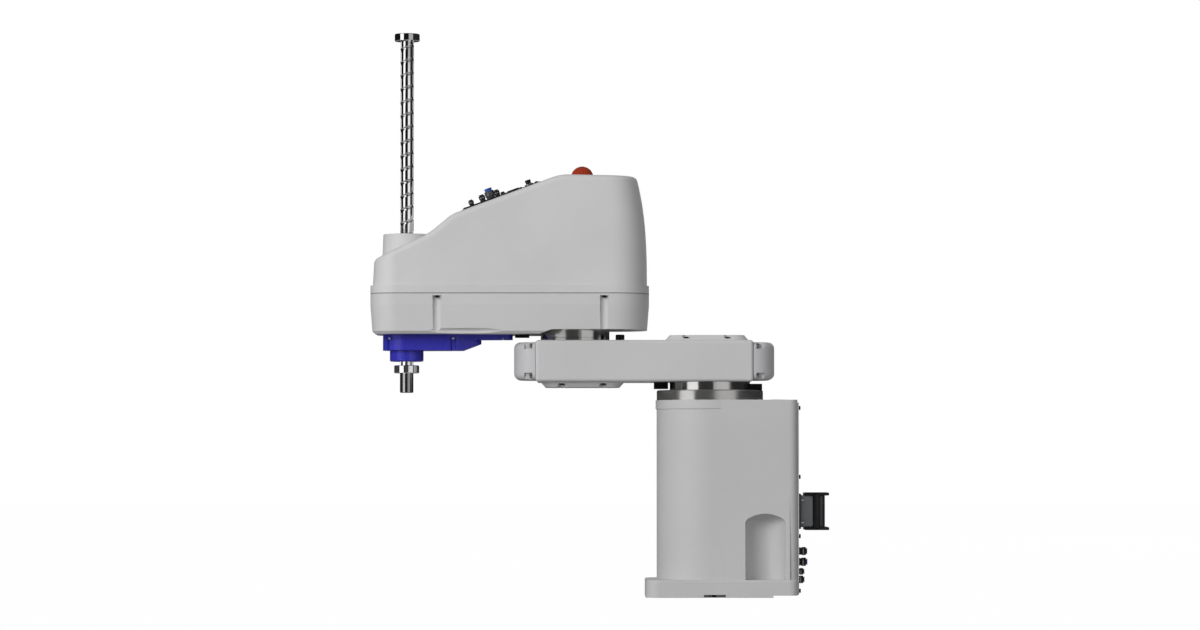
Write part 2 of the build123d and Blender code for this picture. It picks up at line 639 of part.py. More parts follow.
def j2_stop_plate():
    """Its half width is what the pins leave at the end of the second joint's travel."""
    free = radians(180.0 - J2_LIMIT - J2_PIN_ANGLE)
    half_w = J2_PIN_ORBIT * sin(free) - J2_PIN_R - STOP_GAP
    x0, x1 = J2_X - J2_STOP_R1, J2_X - J2_STOP_R0
    plate = block(x0, x1, -half_w, half_w, Z_NOSE - J2_STOP_H, Z_NOSE)
    return plate


# Second arm


def arm2_plan(inset=0.0):
    return rounded_plan(ARM2_X0 + inset, ARM2_X1 - inset, ARM2_HALF_W - inset,
                        ARM2_NOSE_R - inset, ARM2_REAR_R - inset)


def housing_groove(offset):
    """Centre of a side groove's cutter, that many millimetres behind the shaft."""
    return SHAFT_X + offset, ARM2_HALF_W + GROOVE_SIDE


def arm2_housing():
    z_wide = Z_SEAM - HOUSING_WIDEST
    upper = rise(arm2_plan(), z_wide, Z_SEAM)
    lower = Pos(0, 0, z_wide) * extrude(arm2_plan(), z_wide - Z_NOSE, dir=(0, 0, -1), taper=HOUSING_DRAFT)
    body = upper + lower
    body = chamfer(level_edges(body, Z_NOSE), HOUSING_CHAMFER)
    x0, x1 = J2_X - STEP_X0, J2_X - STEP_X1
    low = Z_NOSE - 5
    step = [(x0, Z_NOSE), (x1, Z_ARM2), (ARM2_X1 + 5, Z_ARM2), (ARM2_X1 + 5, low), (x0, low)]
    body -= side_cut(step, ARM2_HALF_W + 5)
    cavity = rise(arm2_plan(HOUSING_WALL + 3.5), Z_FLOOR, Z_SEAM + 1)
    body -= cavity
    body -= disc(J2_SPIGOT_R + FIT, Z_NOSE - 1, Z_FLOOR + 1, J2_X)
    body -= disc(J2_RING_R + GAP, Z_NOSE - 1, Z_ARM2, J2_X)
    body -= disc(SPLINE_NUT_R + 4.0, Z_NOSE - 1, Z_FLOOR + 1, SHAFT_X)
    for offset in GROOVE_X:
        x, y = housing_groove(offset)
        body -= both_sides(disc(GROOVE_R, Z_NOSE - 1, Z_SEAM - GROOVE_TOP, x, y))
    r = (SCALLOP_CHORD ** 2 / 4 + SCALLOP_DEPTH ** 2) / (2 * SCALLOP_DEPTH)
    y = ARM2_HALF_W - (Z_SEAM - HOUSING_WIDEST - Z_NOSE) * tan(radians(HOUSING_DRAFT)) + r - SCALLOP_DEPTH
    scallop = disc(r, Z_NOSE - 1, Z_NOSE + HOUSING_CHAMFER + SCALLOP_H, SHAFT_X + SCALLOP_X, y)
    scallop = chamfer(level_edges(scallop, Z_NOSE + HOUSING_CHAMFER + SCALLOP_H), SCALLOP_H * 0.9)
    return body - both_sides(scallop)


def groove_screws():
    """Cover screws, seated at the top of the side grooves and pointing down."""
    screw = Rot(180, 0, 0) * cap_screw(3.0, 3.0)
    spots = [housing_groove(offset) for offset in GROOVE_X]
    z = Z_SEAM - GROOVE_TOP
    return group([Pos(x, s * (y - GROOVE_R / 2 + 0.5), z) * screw for x, y in spots for s in (-1, 1)])


def roof_height(x):
    """Height of the flat top at x; it falls a little towards the rear."""
    return Z_SEAM + COVER_TOP_H + TOP_RISE - TOP_FALL * (x - SLOPE_END_X)


def roof_outline(z_low):
    """Side view of what lies under the roof: nose slope, kink, long slope and flat top."""
    nose_x, nose_z = ARM2_X0 + LIP_PROUD, Z_SEAM + COVER_NOSE_H
    kink_x, kink_z = SHAFT_X + COVER_KINK_X, Z_SEAM + COVER_KINK_H
    nose_fall = (kink_z - nose_z) / (kink_x - nose_x)
    x0, x1 = nose_x - ROOF_OVERRUN, ARM2_X1 + ROOF_OVERRUN
    outline = [
        (x0, nose_z - ROOF_OVERRUN * nose_fall),
        (kink_x, kink_z),
        (CREST_X, CREST_Z),
        (SLOPE_END_X, roof_height(SLOPE_END_X)),
        (x1, roof_height(x1)),
    ]
    roof = FilletPolyline(*outline, radius=[COVER_KINK_R, COVER_CREST_R, COVER_TOP_R])
    rest = Polyline(outline[-1], (x1, z_low), (x0, z_low), outline[0])
    return make_face([*roof.edges(), *rest.edges()])


def cover_block(inset=0.0):
    """The cover's outer form, or its inner one when inset is the wall."""
    face = roof_outline(Z_SEAM - ROOF_OVERRUN)
    if inset:
        face = offset(face, -inset, kind=Kind.INTERSECTION)
    slab = extrude(Plane.XZ * face, ARM2_HALF_W * 2, both=True)
    return slab & cover_walls(inset)


def cover_walls(inset):
    """The walls as a loft: they draw in with the draft, and the rear leans in more and more."""
    z0 = Z_SEAM - 1.0 if inset else Z_SEAM
    height = COVER_TOP_H + ROOF_OVERRUN
    sections = []
    for i in range(COVER_SECTIONS):
        h = height * i / (COVER_SECTIONS - 1)
        drawn = LIP_PROUD + inset + h * tan(radians(COVER_DRAFT))
        leant = LIP_PROUD + inset + COVER_REAR_LEAN * (h / COVER_TOP_H) ** 3
        plan = rounded_plan(ARM2_X0 + drawn, ARM2_X1 - leant, ARM2_HALF_W - drawn,
                            ARM2_NOSE_R - drawn, ARM2_REAR_R - drawn)
        sections.append(Pos(0, 0, z0 + h) * plan)
    return loft(sections)


def roof_rim(shape):
    """The loop of edges where the roof meets the walls, without the lines across the roof."""
    walls = [e for e in shape.edges() if e.bounding_box().min.Z > Z_SEAM + COVER_NOSE_H / 2]
    return [e for e in walls if e.length < ARM2_HALF_W * 1.5 or e.bounding_box().size.X > 1.0]


def cover_ribs():
    """Stiffening ribs across the roof, in front of and behind the second motor."""
    inner = cover_block(COVER_WALL - 0.4)
    z1 = Z_SEAM + COVER_TOP_H + 10
    z0 = Z_SEAM + COVER_TOP_H - COVER_WALL - RIB_H
    spots = (SLOPE_END_X + 4, ARM2_X1 - RIB_REAR)
    return [block(x - RIB_T / 2, x + RIB_T / 2, -ARM2_HALF_W, ARM2_HALF_W, z0, z1) & inner for x in spots]


def arm2_cover():
    outer = cover_block()
    outer = fillet(roof_rim(outer), COVER_EDGE_R)
    outer += rise(arm2_plan(), Z_SEAM, Z_SEAM + LIP_H)
    z_boss, z_root = Z_SEAM + BOSS_TOP, Z_SEAM + BOSS_ROOT
    upright = (Align.CENTER, Align.CENTER, Align.MIN)
    boss = Pos(SHAFT_X, 0, z_root) * Cone(BOSS_BOTTOM_R, BOSS_TOP_R, z_boss - z_root, align=upright)
    boss = fillet(boss.edges().group_by(Axis.Z)[-1], 1.5)
    cover = outer + boss
    well = disc(BOSS_TOP_R - BOSS_WALL, Z_SEAM - 1, z_boss - BOSS_CAP_T, SHAFT_X)
    cover -= cover_block(COVER_WALL) + well
    for rib in cover_ribs():
        cover += rib
    cover -= disc(BOSS_HOLE_R, Z_SEAM, z_boss + 1, SHAFT_X)
    z_roof = Z_SEAM + COVER_TOP_H
    cover -= disc(LAMP_STEM_R + GAP, z_roof - ROOF_HOLE_H, z_roof + ROOF_HOLE_H, SHAFT_X + LAMP_X)
    return cover - button_hole()


def button_hole():
    hole = disc(BUTTON_STEM_R + GAP, -ROOF_HOLE_H, ROOF_HOLE_H)
    return slope_place(BUTTON_S, BUTTON_Y) * hole


def slope_place(s, y, lift=0.0):
    """A place on the sloping roof, s from the crest, with Z square to the roof."""
    a = radians(COVER_SLOPE)
    origin = (CREST_X + s * cos(a) - lift * sin(a), y, CREST_Z + s * sin(a) + lift * cos(a))
    plane = Plane(origin=origin, x_dir=(cos(a), 0, sin(a)), z_dir=(-sin(a), 0, cos(a)))
    return plane.location


def user_plate():
    plan = fillet(Rectangle(USER_PLATE_L, USER_PLATE_W).vertices(), USER_PLATE_R)
    plate = extrude(plan, USER_PLATE_T)
    return slope_place(USER_PLATE_START + USER_PLATE_L / 2, 0.0) * plate - button_hole()


def user_fittings():
    spots = zip(USER_S, USER_Y, USER_R, USER_H)
    return group([slope_place(s, y, USER_PLATE_T) * air_fitting(r, h) for s, y, r, h in spots])


def signal_fitting():
    return slope_place(BIG_FITTING_S, BIG_FITTING_Y, USER_PLATE_T) * air_fitting(BIG_FITTING_R, BIG_FITTING_H)


def button_collar():
    collar = disc(BUTTON_COLLAR_R, 0, BUTTON_COLLAR_H)
    return slope_place(BUTTON_S, BUTTON_Y, USER_PLATE_T) * collar - button_hole()


def brake_button():
    """A push button that releases the brakes; it travels down its collar."""
    low = USER_PLATE_T + BUTTON_COLLAR_H + BUTTON_TRAVEL + GAP
    head = disc(BUTTON_R, low, low + BUTTON_H)
    head = fillet(level_edges(head, low + BUTTON_H), 1.2)
    return slope_place(BUTTON_S, BUTTON_Y) * (head + disc(BUTTON_STEM_R, low - BUTTON_STEM_L, low))


def status_lamp():
    x = SHAFT_X + LAMP_X
    z0 = roof_height(x - LAMP_R) + FIT
    dome_r = (LAMP_R ** 2 + LAMP_H ** 2) / (2 * LAMP_H)
    dome = Pos(x, 0, z0 + LAMP_H - dome_r) * Sphere(dome_r)
    dome &= disc(LAMP_R, z0, z0 + LAMP_H + 1, x)
    return dome + disc(LAMP_STEM_R, z0 - LAMP_STEM_L, z0, x)


# Nut housing, shaft and drives


def hull_of(*discs):
    """Level outline around several circles, each given as x and radius."""
    edges = []
    for x, r in discs:
        edges += (Pos(x, 0) * Circle(r)).edges()
    return make_hull(edges)


def nut_housing():
    tail = hull_of((SHAFT_X, NUT_BODY_R), (SHAFT_X + NUT_WAIST_X, NUT_WAIST_R),
                   (SHAFT_X + NUT_TAIL_X, NUT_TAIL_R))
    tongue = hull_of((SHAFT_X, NUT_BODY_R), (SHAFT_X + NUT_TONGUE_X, NUT_TONGUE_R))
    body = rise(tail, Z_NUT_BODY, Z_NOSE) + rise(tongue, Z_NOSE - NUT_FLANGE_H, Z_NOSE)
    x0, x1 = SHAFT_X + NUT_SLOPE_X0, SHAFT_X + NUT_SLOPE_X1
    z1 = Z_NUT_BODY + NUT_SLOPE_RISE
    slope = [(x0, Z_NUT_BODY), (x1, z1), (x1 + 9, z1), (x1 + 9, Z_NUT_BODY - 1), (x0, Z_NUT_BODY - 1)]
    body -= side_cut(slope, NUT_BODY_R)
    boss = disc(NUT_BOSS_R, Z_NUT_BOSS, Z_NUT_BODY, SHAFT_X)
    body += chamfer(level_edges(boss, Z_NUT_BOSS), NUT_BOSS_CHAMFER)
    body -= disc(SPLINE_BEARING_R + FIT, Z_NUT_BODY - 2, Z_NOSE + 1, SHAFT_X)
    body -= disc(SHAFT_R + 2.0, Z_NUT_BOSS - 1, Z_NOSE, SHAFT_X)
    for x, y in nut_screw_spots():
        body -= both_sides(disc(NUT_SCOOP_R, Z_NUT_BOSS, Z_NOSE - NUT_SCREW_SEAT, x, y))
    return body


def nut_screw_spots():
    return [
        (SHAFT_X + NUT_FRONT_SCREW_X, NUT_FRONT_SCREW_Y),
        (SHAFT_X + NUT_SIDE_SCREW_X, NUT_SIDE_SCREW_Y),
        (SHAFT_X + NUT_TONGUE_X - NUT_TAIL_SCREW_IN, NUT_TAIL_SCREW_Y),
    ]


def nut_housing_screws():
    screw = Pos(0, 0, Z_NOSE - NUT_SCREW_SEAT) * Rot(180, 0, 0) * cap_screw(NUT_SCREW_R, NUT_SCREW_H)
    return group([Pos(x, s * y, 0) * screw for x, y in nut_screw_spots() for s in (-1, 1)])


def z_shaft():
    """Hollow shaft with straight spline grooves; its lower end is plain for the tool."""
    hollow = Circle(SHAFT_R) - Circle(SHAFT_BORE_R)
    grooved = hollow
    for i in range(SPLINE_GROOVES):
        turn = Rot(0, 0, 30 + i * 360 / SPLINE_GROOVES)
        grooved -= turn * Pos(SHAFT_R + 0.4, 0) * Circle(SPLINE_GROOVE_R)
    shaft = rise(hollow, Z_SHAFT_END, Z_COLLAR_TOP) + rise(grooved, Z_COLLAR_TOP, Z_SHAFT_TOP)
    outer_end = level_edges(shaft, Z_SHAFT_END).sort_by(SortBy.LENGTH)[-1]
    shaft = chamfer(outer_end, TIP_CHAMFER)
    z_neck = Z_COLLAR_TOP - COLLAR_T - NECK_DROP
    neck = ring(SHAFT_R + 1, SHAFT_R - NECK_DEPTH, z_neck, z_neck + NECK_H)
    return Pos(SHAFT_X, 0, 0) * (shaft - neck)


def collar(z0, thickness):
    """A split clamp collar with its clamp screw hole."""
    body = ring(COLLAR_R, SHAFT_R + 0.02, z0, z0 + thickness)
    outer = body.edges().filter_by(GeomType.CIRCLE).group_by(SortBy.RADIUS)[-1]
    body = chamfer(outer, COLLAR_CHAMFER)
    body -= block(0, COLLAR_R + 1, -0.6, 0.6, z0 - 1, z0 + thickness + 1)
    hole = Pos(COLLAR_R * 0.76, 0, z0 + thickness / 2) * Rot(90, 0, 0) * Cylinder(1.6, COLLAR_R * 2)
    return Pos(SHAFT_X, 0, 0) * Rot(0, 0, 60) * (body - hole)


def spline_nut():
    """The nut that turns the shaft; it slides along the shaft's straight grooves."""
    z0, z1 = Z_NUT_BODY - 1.6, Z_J4_PULLEY + PULLEY_W
    return ring(SPLINE_NUT_R, SHAFT_R + FIT, z0, z1, SHAFT_X)


def spline_bearing():
    z0 = Z_NUT_BODY - 2
    return ring(SPLINE_BEARING_R, SPLINE_NUT_R + FIT, z0, z0 + BEARING_T, SHAFT_X)


def ball_nut():
    """The nut that lifts the shaft; it runs in the shaft's helical groove."""
    z0 = Z_BRACKET + 0.6
    return ring(BALL_NUT_R, SHAFT_R + FIT, z0, Z_BALL_NUT_TOP, SHAFT_X)


def ball_nut_bearing():
    return ring(BALL_NUT_BEARING_R, BALL_NUT_R + FIT, Z_BRACKET, Z_BRACKET + BEARING_T, SHAFT_X)


def toothed_pulley(r, z0, bore_r, x):
    """A timing pulley with square-cut teeth between two thin flanges."""
    teeth = round(2 * pi * r / TOOTH_PITCH)
    cuts = PolarLocations(r, teeth) * Rectangle(2 * TOOTH_DEPTH, TOOTH_PITCH * 0.45)
    body = rise(Circle(r) - cuts, PULLEY_FLANGE_T, PULLEY_W - PULLEY_FLANGE_T)
    rim_r = r + PULLEY_FLANGE_PROUD
    body += disc(rim_r, 0, PULLEY_FLANGE_T)
    body += disc(rim_r, PULLEY_W - PULLEY_FLANGE_T, PULLEY_W)
    body -= disc(bore_r, -1, PULLEY_W + 1)
    return Pos(x, 0, z0) * body


def motor_pulley(r, x, z0, z_motor):
    """A motor's pulley with the shaft that carries it up into the motor."""
    pulley = toothed_pulley(r, z0, MOTOR_SHAFT_R, x)
    return pulley + disc(MOTOR_SHAFT_R, z0, z_motor + MOTOR_SHAFT_SINK, x)


def belt(r0, x1, r1, z0):
    """A flat loop from the nut pulley to a motor pulley."""
    reach = GAP
    inner = hull_of((SHAFT_X, r0 + reach), (x1, r1 + reach))
    outer = hull_of((SHAFT_X, r0 + reach + BELT_T), (x1, r1 + reach + BELT_T))
    middle = z0 + PULLEY_W / 2
    return rise(outer, middle - BELT_W / 2, middle + BELT_W / 2) - rise(
        inner, middle - BELT_W, middle + BELT_W)


def post_spots(x0, x1, half_w):
    r = BRACKET_POST_R
    return [(x, s * (half_w - r)) for x in (x0 + r, x1 - r) for s in (-1, 1)]


def drive_bracket():
    """Carries the ball nut's bearing and the fourth axis motor above the lower belt."""
    x0, x1 = SHAFT_X + BRACKET_X0, SHAFT_X + BRACKET_X1
    plan = rounded_plan(x0, x1, BRACKET_HALF_W, 10.0, 6.0)
    body = rise(plan, Z_BRACKET, Z_BRACKET_TOP)
    body += disc(BALL_NUT_BEARING_R + 5, Z_BRACKET, Z_BRACKET + BEARING_T, SHAFT_X)
    body -= disc(BALL_NUT_BEARING_R + FIT, Z_BRACKET - 1, Z_BRACKET + BEARING_T + 1, SHAFT_X)
    body -= disc(J4_MOTOR_PULLEY_R - 3, Z_BRACKET - 1, Z_BRACKET_TOP + 1, SHAFT_X + J4_MOTOR_X)
    for x, y in post_spots(x0, x1, BRACKET_HALF_W):
        body += disc(BRACKET_POST_R, Z_FLOOR, Z_BRACKET, x, y)
    return body


def j3_motor_plate():
    """Carries the lifting motor above its belt, on four posts from the housing floor."""
    x = SHAFT_X + J3_MOTOR_X
    x0, x1 = x - MOTOR_PLATE_HALF_L + 3, x + MOTOR_PLATE_HALF_L
    plan = rounded_plan(x0, x1, MOTOR_PLATE_HALF_W, 6.0, 6.0)
    body = rise(plan, Z_MOTOR_PLATE, Z_MOTOR_PLATE_TOP)
    body -= disc(MOTOR_SHAFT_R + 6, Z_MOTOR_PLATE - 1, Z_MOTOR_PLATE_TOP + 1, x)
    for px, py in post_spots(x0, x1, MOTOR_PLATE_HALF_W):
        body += disc(BRACKET_POST_R, Z_FLOOR, Z_MOTOR_PLATE, px, py)
    return body


def j4_motor():
    body = motor(J4_MOTOR_SIZE, J4_MOTOR_L, J4_MOTOR_CAP_L)
    return Pos(SHAFT_X + J4_MOTOR_X, 0, Z_BRACKET_TOP) * body


def j3_motor():
    return Pos(SHAFT_X + J3_MOTOR_X, 0, Z_MOTOR_PLATE_TOP) * motor(J3_MOTOR_SIZE, J3_MOTOR_L, 2.0)


def j3_brake():
    z0 = Z_MOTOR_PLATE_TOP + J3_MOTOR_L + 2.0
    return disc(J3_MOTOR_SIZE * 0.38, z0, z0 + J3_BRAKE_L, SHAFT_X + J3_MOTOR_X)


save("base_column", base_column())
save("rear_panel", rear_panel())
save("rear_panel_screws", rear_panel_screws())
save("base_plug", disc(PLUG_R, BASE_HEIGHT, BASE_HEIGHT + PLUG_H, PLUG_X))
save("foot_screws", foot_screws())
save("power_socket", power_socket())
save("socket_hood", socket_hood())
save("socket_screws", socket_screws())
save("air_fittings", rear_fittings((0, 2, 3)))
save("blue_air_fitting", rear_fittings((1,)))
save("j1_reducer", j1_reducer())
save("j1_motor", j1_motor())
save("j1_fixed_stop", j1_fixed_stop())
save("j1_output_flange", j1_output_flange())
save("arm1_casting", arm1_casting())
save("arm1_rear_cap", arm1_cap(ARM1_REAR_OVERHANG))
save("arm1_front_cap", front_end(arm1_cap(ARM1_FRONT_OVERHANG)))
save("arm1_cap_screws", arm1_cap_screws())
save("j1_top_cover", j1_top_cover())
save("j2_bottom_cover", j2_bottom_cover())
save("cover_plate_screws", cover_plate_screws())
save("j1_moving_stop", j1_moving_stop())
save("j2_stop_pins", j2_stop_pins())
save("j2_output_flange", j2_output_flange())
save("j2_reducer", j2_reducer())
save("j2_motor", j2_motor())
save("j2_stop_plate", j2_stop_plate())
save("arm2_housing", arm2_housing())
save("groove_screws", groove_screws())
save("arm2_cover", arm2_cover())
save("user_plate", user_plate())
save("user_fittings", user_fittings())
save("signal_fitting", signal_fitting())
save("button_collar", button_collar())
save("brake_button", brake_button())
save("status_lamp", status_lamp())
save("nut_housing", nut_housing())
save("nut_housing_screws", nut_housing_screws())
save("drive_bracket", drive_bracket())
save("j3_motor_plate", j3_motor_plate())
save("ball_nut_bearing", ball_nut_bearing())
save("spline_bearing", spline_bearing())
save("j4_motor", j4_motor())
save("j3_motor", j3_motor())
save("j3_brake", j3_brake())
save("j4_belt", belt(J4_NUT_PULLEY_R, SHAFT_X + J4_MOTOR_X, J4_MOTOR_PULLEY_R, Z_J4_PULLEY))
save("j3_belt", belt(J3_PULLEY_R, SHAFT_X + J3_MOTOR_X, J3_PULLEY_R, Z_J3_PULLEY))
save("spline_nut", spline_nut())
save("j4_nut_pulley", toothed_pulley(J4_NUT_PULLEY_R, Z_J4_PULLEY, SPLINE_NUT_R + 0.02, SHAFT_X))
save("ball_nut", ball_nut())
save("j3_nut_pulley", toothed_pulley(J3_PULLEY_R, Z_J3_PULLEY, BALL_NUT_R + 0.02, SHAFT_X))
save("j4_motor_pulley", motor_pulley(J4_MOTOR_PULLEY_R, SHAFT_X + J4_MOTOR_X, Z_J4_PULLEY, Z_BRACKET_TOP))
save("j3_motor_pulley", motor_pulley(J3_PULLEY_R, SHAFT_X + J3_MOTOR_X, Z_J3_PULLEY, Z_MOTOR_PLATE_TOP))
save("z_shaft", z_shaft())
save("lower_collar", collar(Z_COLLAR_TOP - COLLAR_T, COLLAR_T))
save("upper_collar", collar(Z_TOP_COLLAR, TOP_COLLAR_T))
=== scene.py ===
from math import atan2, cos, hypot, pi, radians, sin, sqrt

import bmesh
import bpy
from mathutils import Matrix, Vector


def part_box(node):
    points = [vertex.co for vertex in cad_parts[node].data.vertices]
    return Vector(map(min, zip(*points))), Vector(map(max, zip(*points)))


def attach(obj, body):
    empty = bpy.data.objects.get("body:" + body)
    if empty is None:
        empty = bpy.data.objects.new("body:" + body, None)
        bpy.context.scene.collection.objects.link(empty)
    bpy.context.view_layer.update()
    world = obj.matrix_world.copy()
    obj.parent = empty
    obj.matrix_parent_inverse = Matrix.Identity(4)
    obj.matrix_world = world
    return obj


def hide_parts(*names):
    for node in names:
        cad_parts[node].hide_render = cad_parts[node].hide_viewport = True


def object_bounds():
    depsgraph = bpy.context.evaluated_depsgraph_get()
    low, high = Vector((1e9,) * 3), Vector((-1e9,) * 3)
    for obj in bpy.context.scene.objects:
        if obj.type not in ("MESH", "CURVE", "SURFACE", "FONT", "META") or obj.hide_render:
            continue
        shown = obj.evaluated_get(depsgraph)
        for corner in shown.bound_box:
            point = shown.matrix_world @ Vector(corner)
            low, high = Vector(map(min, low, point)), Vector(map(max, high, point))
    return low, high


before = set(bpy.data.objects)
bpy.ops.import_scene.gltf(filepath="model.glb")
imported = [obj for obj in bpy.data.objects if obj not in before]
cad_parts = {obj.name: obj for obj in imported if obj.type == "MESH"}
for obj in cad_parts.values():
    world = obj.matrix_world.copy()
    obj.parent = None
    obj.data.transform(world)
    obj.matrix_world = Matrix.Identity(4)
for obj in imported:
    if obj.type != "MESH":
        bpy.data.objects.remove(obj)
cad_low, cad_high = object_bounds()

MM = 0.001
WHITE = (1.0, 1.0, 1.0, 1.0)

# Camera: the side view of the photograph, from far away and low
CAMERA_AT, CAMERA_AIM = (-0.163, -6.146, 0.191), (-0.163, 0.0, 0.417)
CAMERA_LENS, CAMERA_SENSOR, CAMERA_REACH = 124.2, 36.0, 100.0

# Studio, in metres
FLOOR_SIZE, FLOOR_DROP = 30.0, 0.0002
FLOOR_WHITE, FLOOR_SHADE = 0.99, 0.38
WORLD_WHITE, WORLD_FILL = 1.0, 0.29

# Soft lights, as power, place and size
LIGHT_AIM = (-0.16, 0.0, 0.4)
SOFT_LIGHTS = {
    "key_light": (176.0, (-3.2, -4.2, 1.9), 2.6),
    "fill_light": (26.0, (2.0, -5.0, 0.7), 2.8),
    "back_light": (90.0, (2.4, 4.8, 2.0), 2.8),
    "top_light": (12.0, (-0.4, -0.6, 4.0), 3.0),
}

# Cards round the robot that only polished surfaces see, each as start and end angle and brightness.
# The low ring shows in the first joint, the middle ring in the second, the high ring in the tool
# shaft and the top ring in the shaft's upper end; CARD_STEPS gives the heights between the rings.
CARD_RINGS = {
    "low": ((-178.0, -69.0, 0.05), (-69.0, -35.0, 1.75), (-35.0, 9.0, 0.035), (9.0, 56.0, 0.78),
            (56.0, 178.0, 0.03)),
    "middle": ((-178.0, -62.0, 0.05), (-62.0, -31.0, 0.16), (-31.0, 18.0, 0.09), (18.0, 62.0, 0.7),
               (62.0, 178.0, 0.03)),
    "high": ((-178.0, -67.0, 0.008), (-67.0, -38.0, 1.3), (-38.0, 8.0, 0.008), (8.0, 52.0, 0.95),
             (52.0, 178.0, 0.02)),
    "top": ((-178.0, -67.0, 0.008), (-67.0, -38.0, 1.3), (-38.0, 8.0, 0.008), (8.0, 52.0, 0.4),
            (52.0, 178.0, 0.02)),
}
CARD_STEPS = (-2.0, 0.43, 0.7, 1.1, 3.0)
CARD_RADIUS, CARD_FACET, CARD_MIN_FACETS = 3.0, 4.0, 4
CEILING_LEVEL, GROUND_LEVEL = 0.10, 0.22
LEVEL_CARD_SIDES, GROUND_CARD_DROP = 48, 0.0001

# Building pieces: sides of turned and six-sided forms, how close points are welded, the angle from which
# an edge stays sharp, and how upright a face's normal is when the face counts as level
LATHE_STEPS, HEXAGON, WELD = 48, 6, 0.0005
SHARP_ANGLE, LAMP_SHARP_ANGLE, LEVEL_NORMAL = 32.0, 60.0, 0.9

# Tool shaft, in millimetres like all the pieces below. Its grooves start above the neck and fade in,
# and a point within SKIN of the full radius is on its surface.
SHAFT_R, SHAFT_BORE_R, SHAFT_EDGE = 10.0, 7.0, 0.8
SHAFT_SIDES, SHAFT_RING, SHAFT_PLAIN_ENDS = 120, 1.0, 4.0
TRACK_LEAD, TRACK_HALF_W, TRACK_DEPTH = 20.0, 1.7, 0.8
SPLINE_GROOVES, SPLINE_TURN, SPLINE_HALF_W, SPLINE_DEPTH = 3, radians(90.0), 1.75, 1.2
NECK_BELOW_COLLAR, NECK_DEPTH, NECK_H = 0.8, 0.3, 1.4
GROOVES_ABOVE_NECK, GROOVE_FADE, SKIN = 2.0, 3.0, 0.01
# Below this height, in metres above the floor, the shaft's steel is painted darker: painted shade that
# dims the lower end's reflections
SHAFT_SHADE_Z, SHADE_FADE, SHADE_SHARE = 0.3305, 0.001, 0.75

# Air fittings at the rear, as y, z, radius and reach, and on the roof, as s, y, radius and reach,
# where s runs up the roof's slope from the user plate's low edge
REAR_FITTINGS = ((-40.0, 67.6, 6.3, 13.2), (-14.0, 51.3, 6.5, 14.8), (14.0, 36.4, 5.2, 11.7),
                 (40.0, 23.8, 5.9, 13.1))
BLUE_FITTING = 1
ROOF_FITTINGS = ((17.3, -20.0, 4.1, 10.5), (34.8, -22.0, 4.9, 12.0), (57.8, -14.0, 4.6, 12.0),
                 (65.8, 16.0, 3.6, 8.0))

# A fitting's outlines, in shares of its radius and reach; the shoulder is all in shares of the radius
FITTING_ROOT_H, FITTING_ROOT_EDGE = 0.3, 0.06
FITTING_WAIST = ((0.5, 0.28), (0.8, 0.28), (0.8, 0.36), (0.96, 0.42))
FITTING_SHOULDER, FITTING_BODY_END = ((0.96, -0.12), (0.9, -0.036), (0.82, 0.0), (0.5, 0.0)), 0.86
FITTING_SLEEVE = ((0.42, 0.8), (0.6, 0.8), (0.6, 0.93), (0.76, 0.94), (0.76, 0.99), (0.5, 1.0),
                  (0.42, 0.96))
FITTING_BAND_R, FITTING_BAND_Z, FITTING_BAND_EDGE = (0.9, 0.98), (0.5, 0.62), 0.1

# The large air inlet on the roof, drawn the same way
AIR_INLET = (47.3, 8.0, 7.4, 19.5)
INLET_ROOT_H, INLET_ROOT_EDGE = 0.22, 0.5
INLET_BODY = ((0.5, 0.2), (0.86, 0.2), (0.86, 0.3), (0.98, 0.36), (0.98, 0.74), (0.86, 0.78), (0.5, 0.78))
INLET_SLEEVE = ((0.42, 0.74), (0.7, 0.74), (0.7, 0.92), (0.82, 0.93), (0.82, 0.98), (0.55, 1.0),
                (0.42, 0.97))
INLET_BANDS, INLET_BAND_Z, INLET_BAND_STEP = 3, 0.42, 0.1
INLET_BAND_R, INLET_BAND_H, INLET_BAND_EDGE = (0.9, 1.0), 0.9, 0.15

# A screw head's outline, in shares of its radius and height
SCREW_HEAD = ((0.5, 0.45), (0.5, 0.98), (0.56, 1.0), (0.9, 1.0), (1.0, 0.88), (1.0, 0.0), (0.0, 0.0),
              (0.0, 0.45))
SCREW_SIDES = 24

# User plate on the roof
ROOF_SLOPE, ROOF_PLATE_T, ROOF_SINK = 20.3, 2.0, 0.2
PLATE_SCREW_S, PLATE_SCREW_Y, PLATE_SCREW_R, PLATE_SCREW_H = (6.0, 118.0), 30.0, 2.6, 1.8
FITTING_PLATE_S, FITTING_PLATE_Y = (3.0, 62.0), (-27.5, 26.0)
FITTING_PLATE_H, FITTING_PLATE_EDGE = 2.0, 0.5
SIGNAL_SOCKET_S, SIGNAL_SOCKET_Y, SIGNAL_SOCKET_W = (68.0, 96.0), -10.0, 20.0
SIGNAL_SOCKET_H, SIGNAL_SOCKET_EDGE = 2.2, 0.8
SIGNAL_MOUTH_IN_S, SIGNAL_MOUTH_IN_Y = 5.0, 3.0
SIGNAL_MOUTH_SINK, SIGNAL_MOUTH_H, SIGNAL_MOUTH_EDGE = 0.4, 1.4, 0.5
SIGNAL_SCREW_IN, SIGNAL_SCREW_R, SIGNAL_SCREW_H = 2.5, 1.5, 1.0

# Seam of the second arm, drawn as a line of painted shade
ARM2_NOSE_R, ARM2_REAR_R = 40.0, 55.0
SEAM_LINE_H, SEAM_LINE_W, SEAM_PROUD, SEAM_CORNER_STEPS = 1.5, 2.2, 0.12, 20

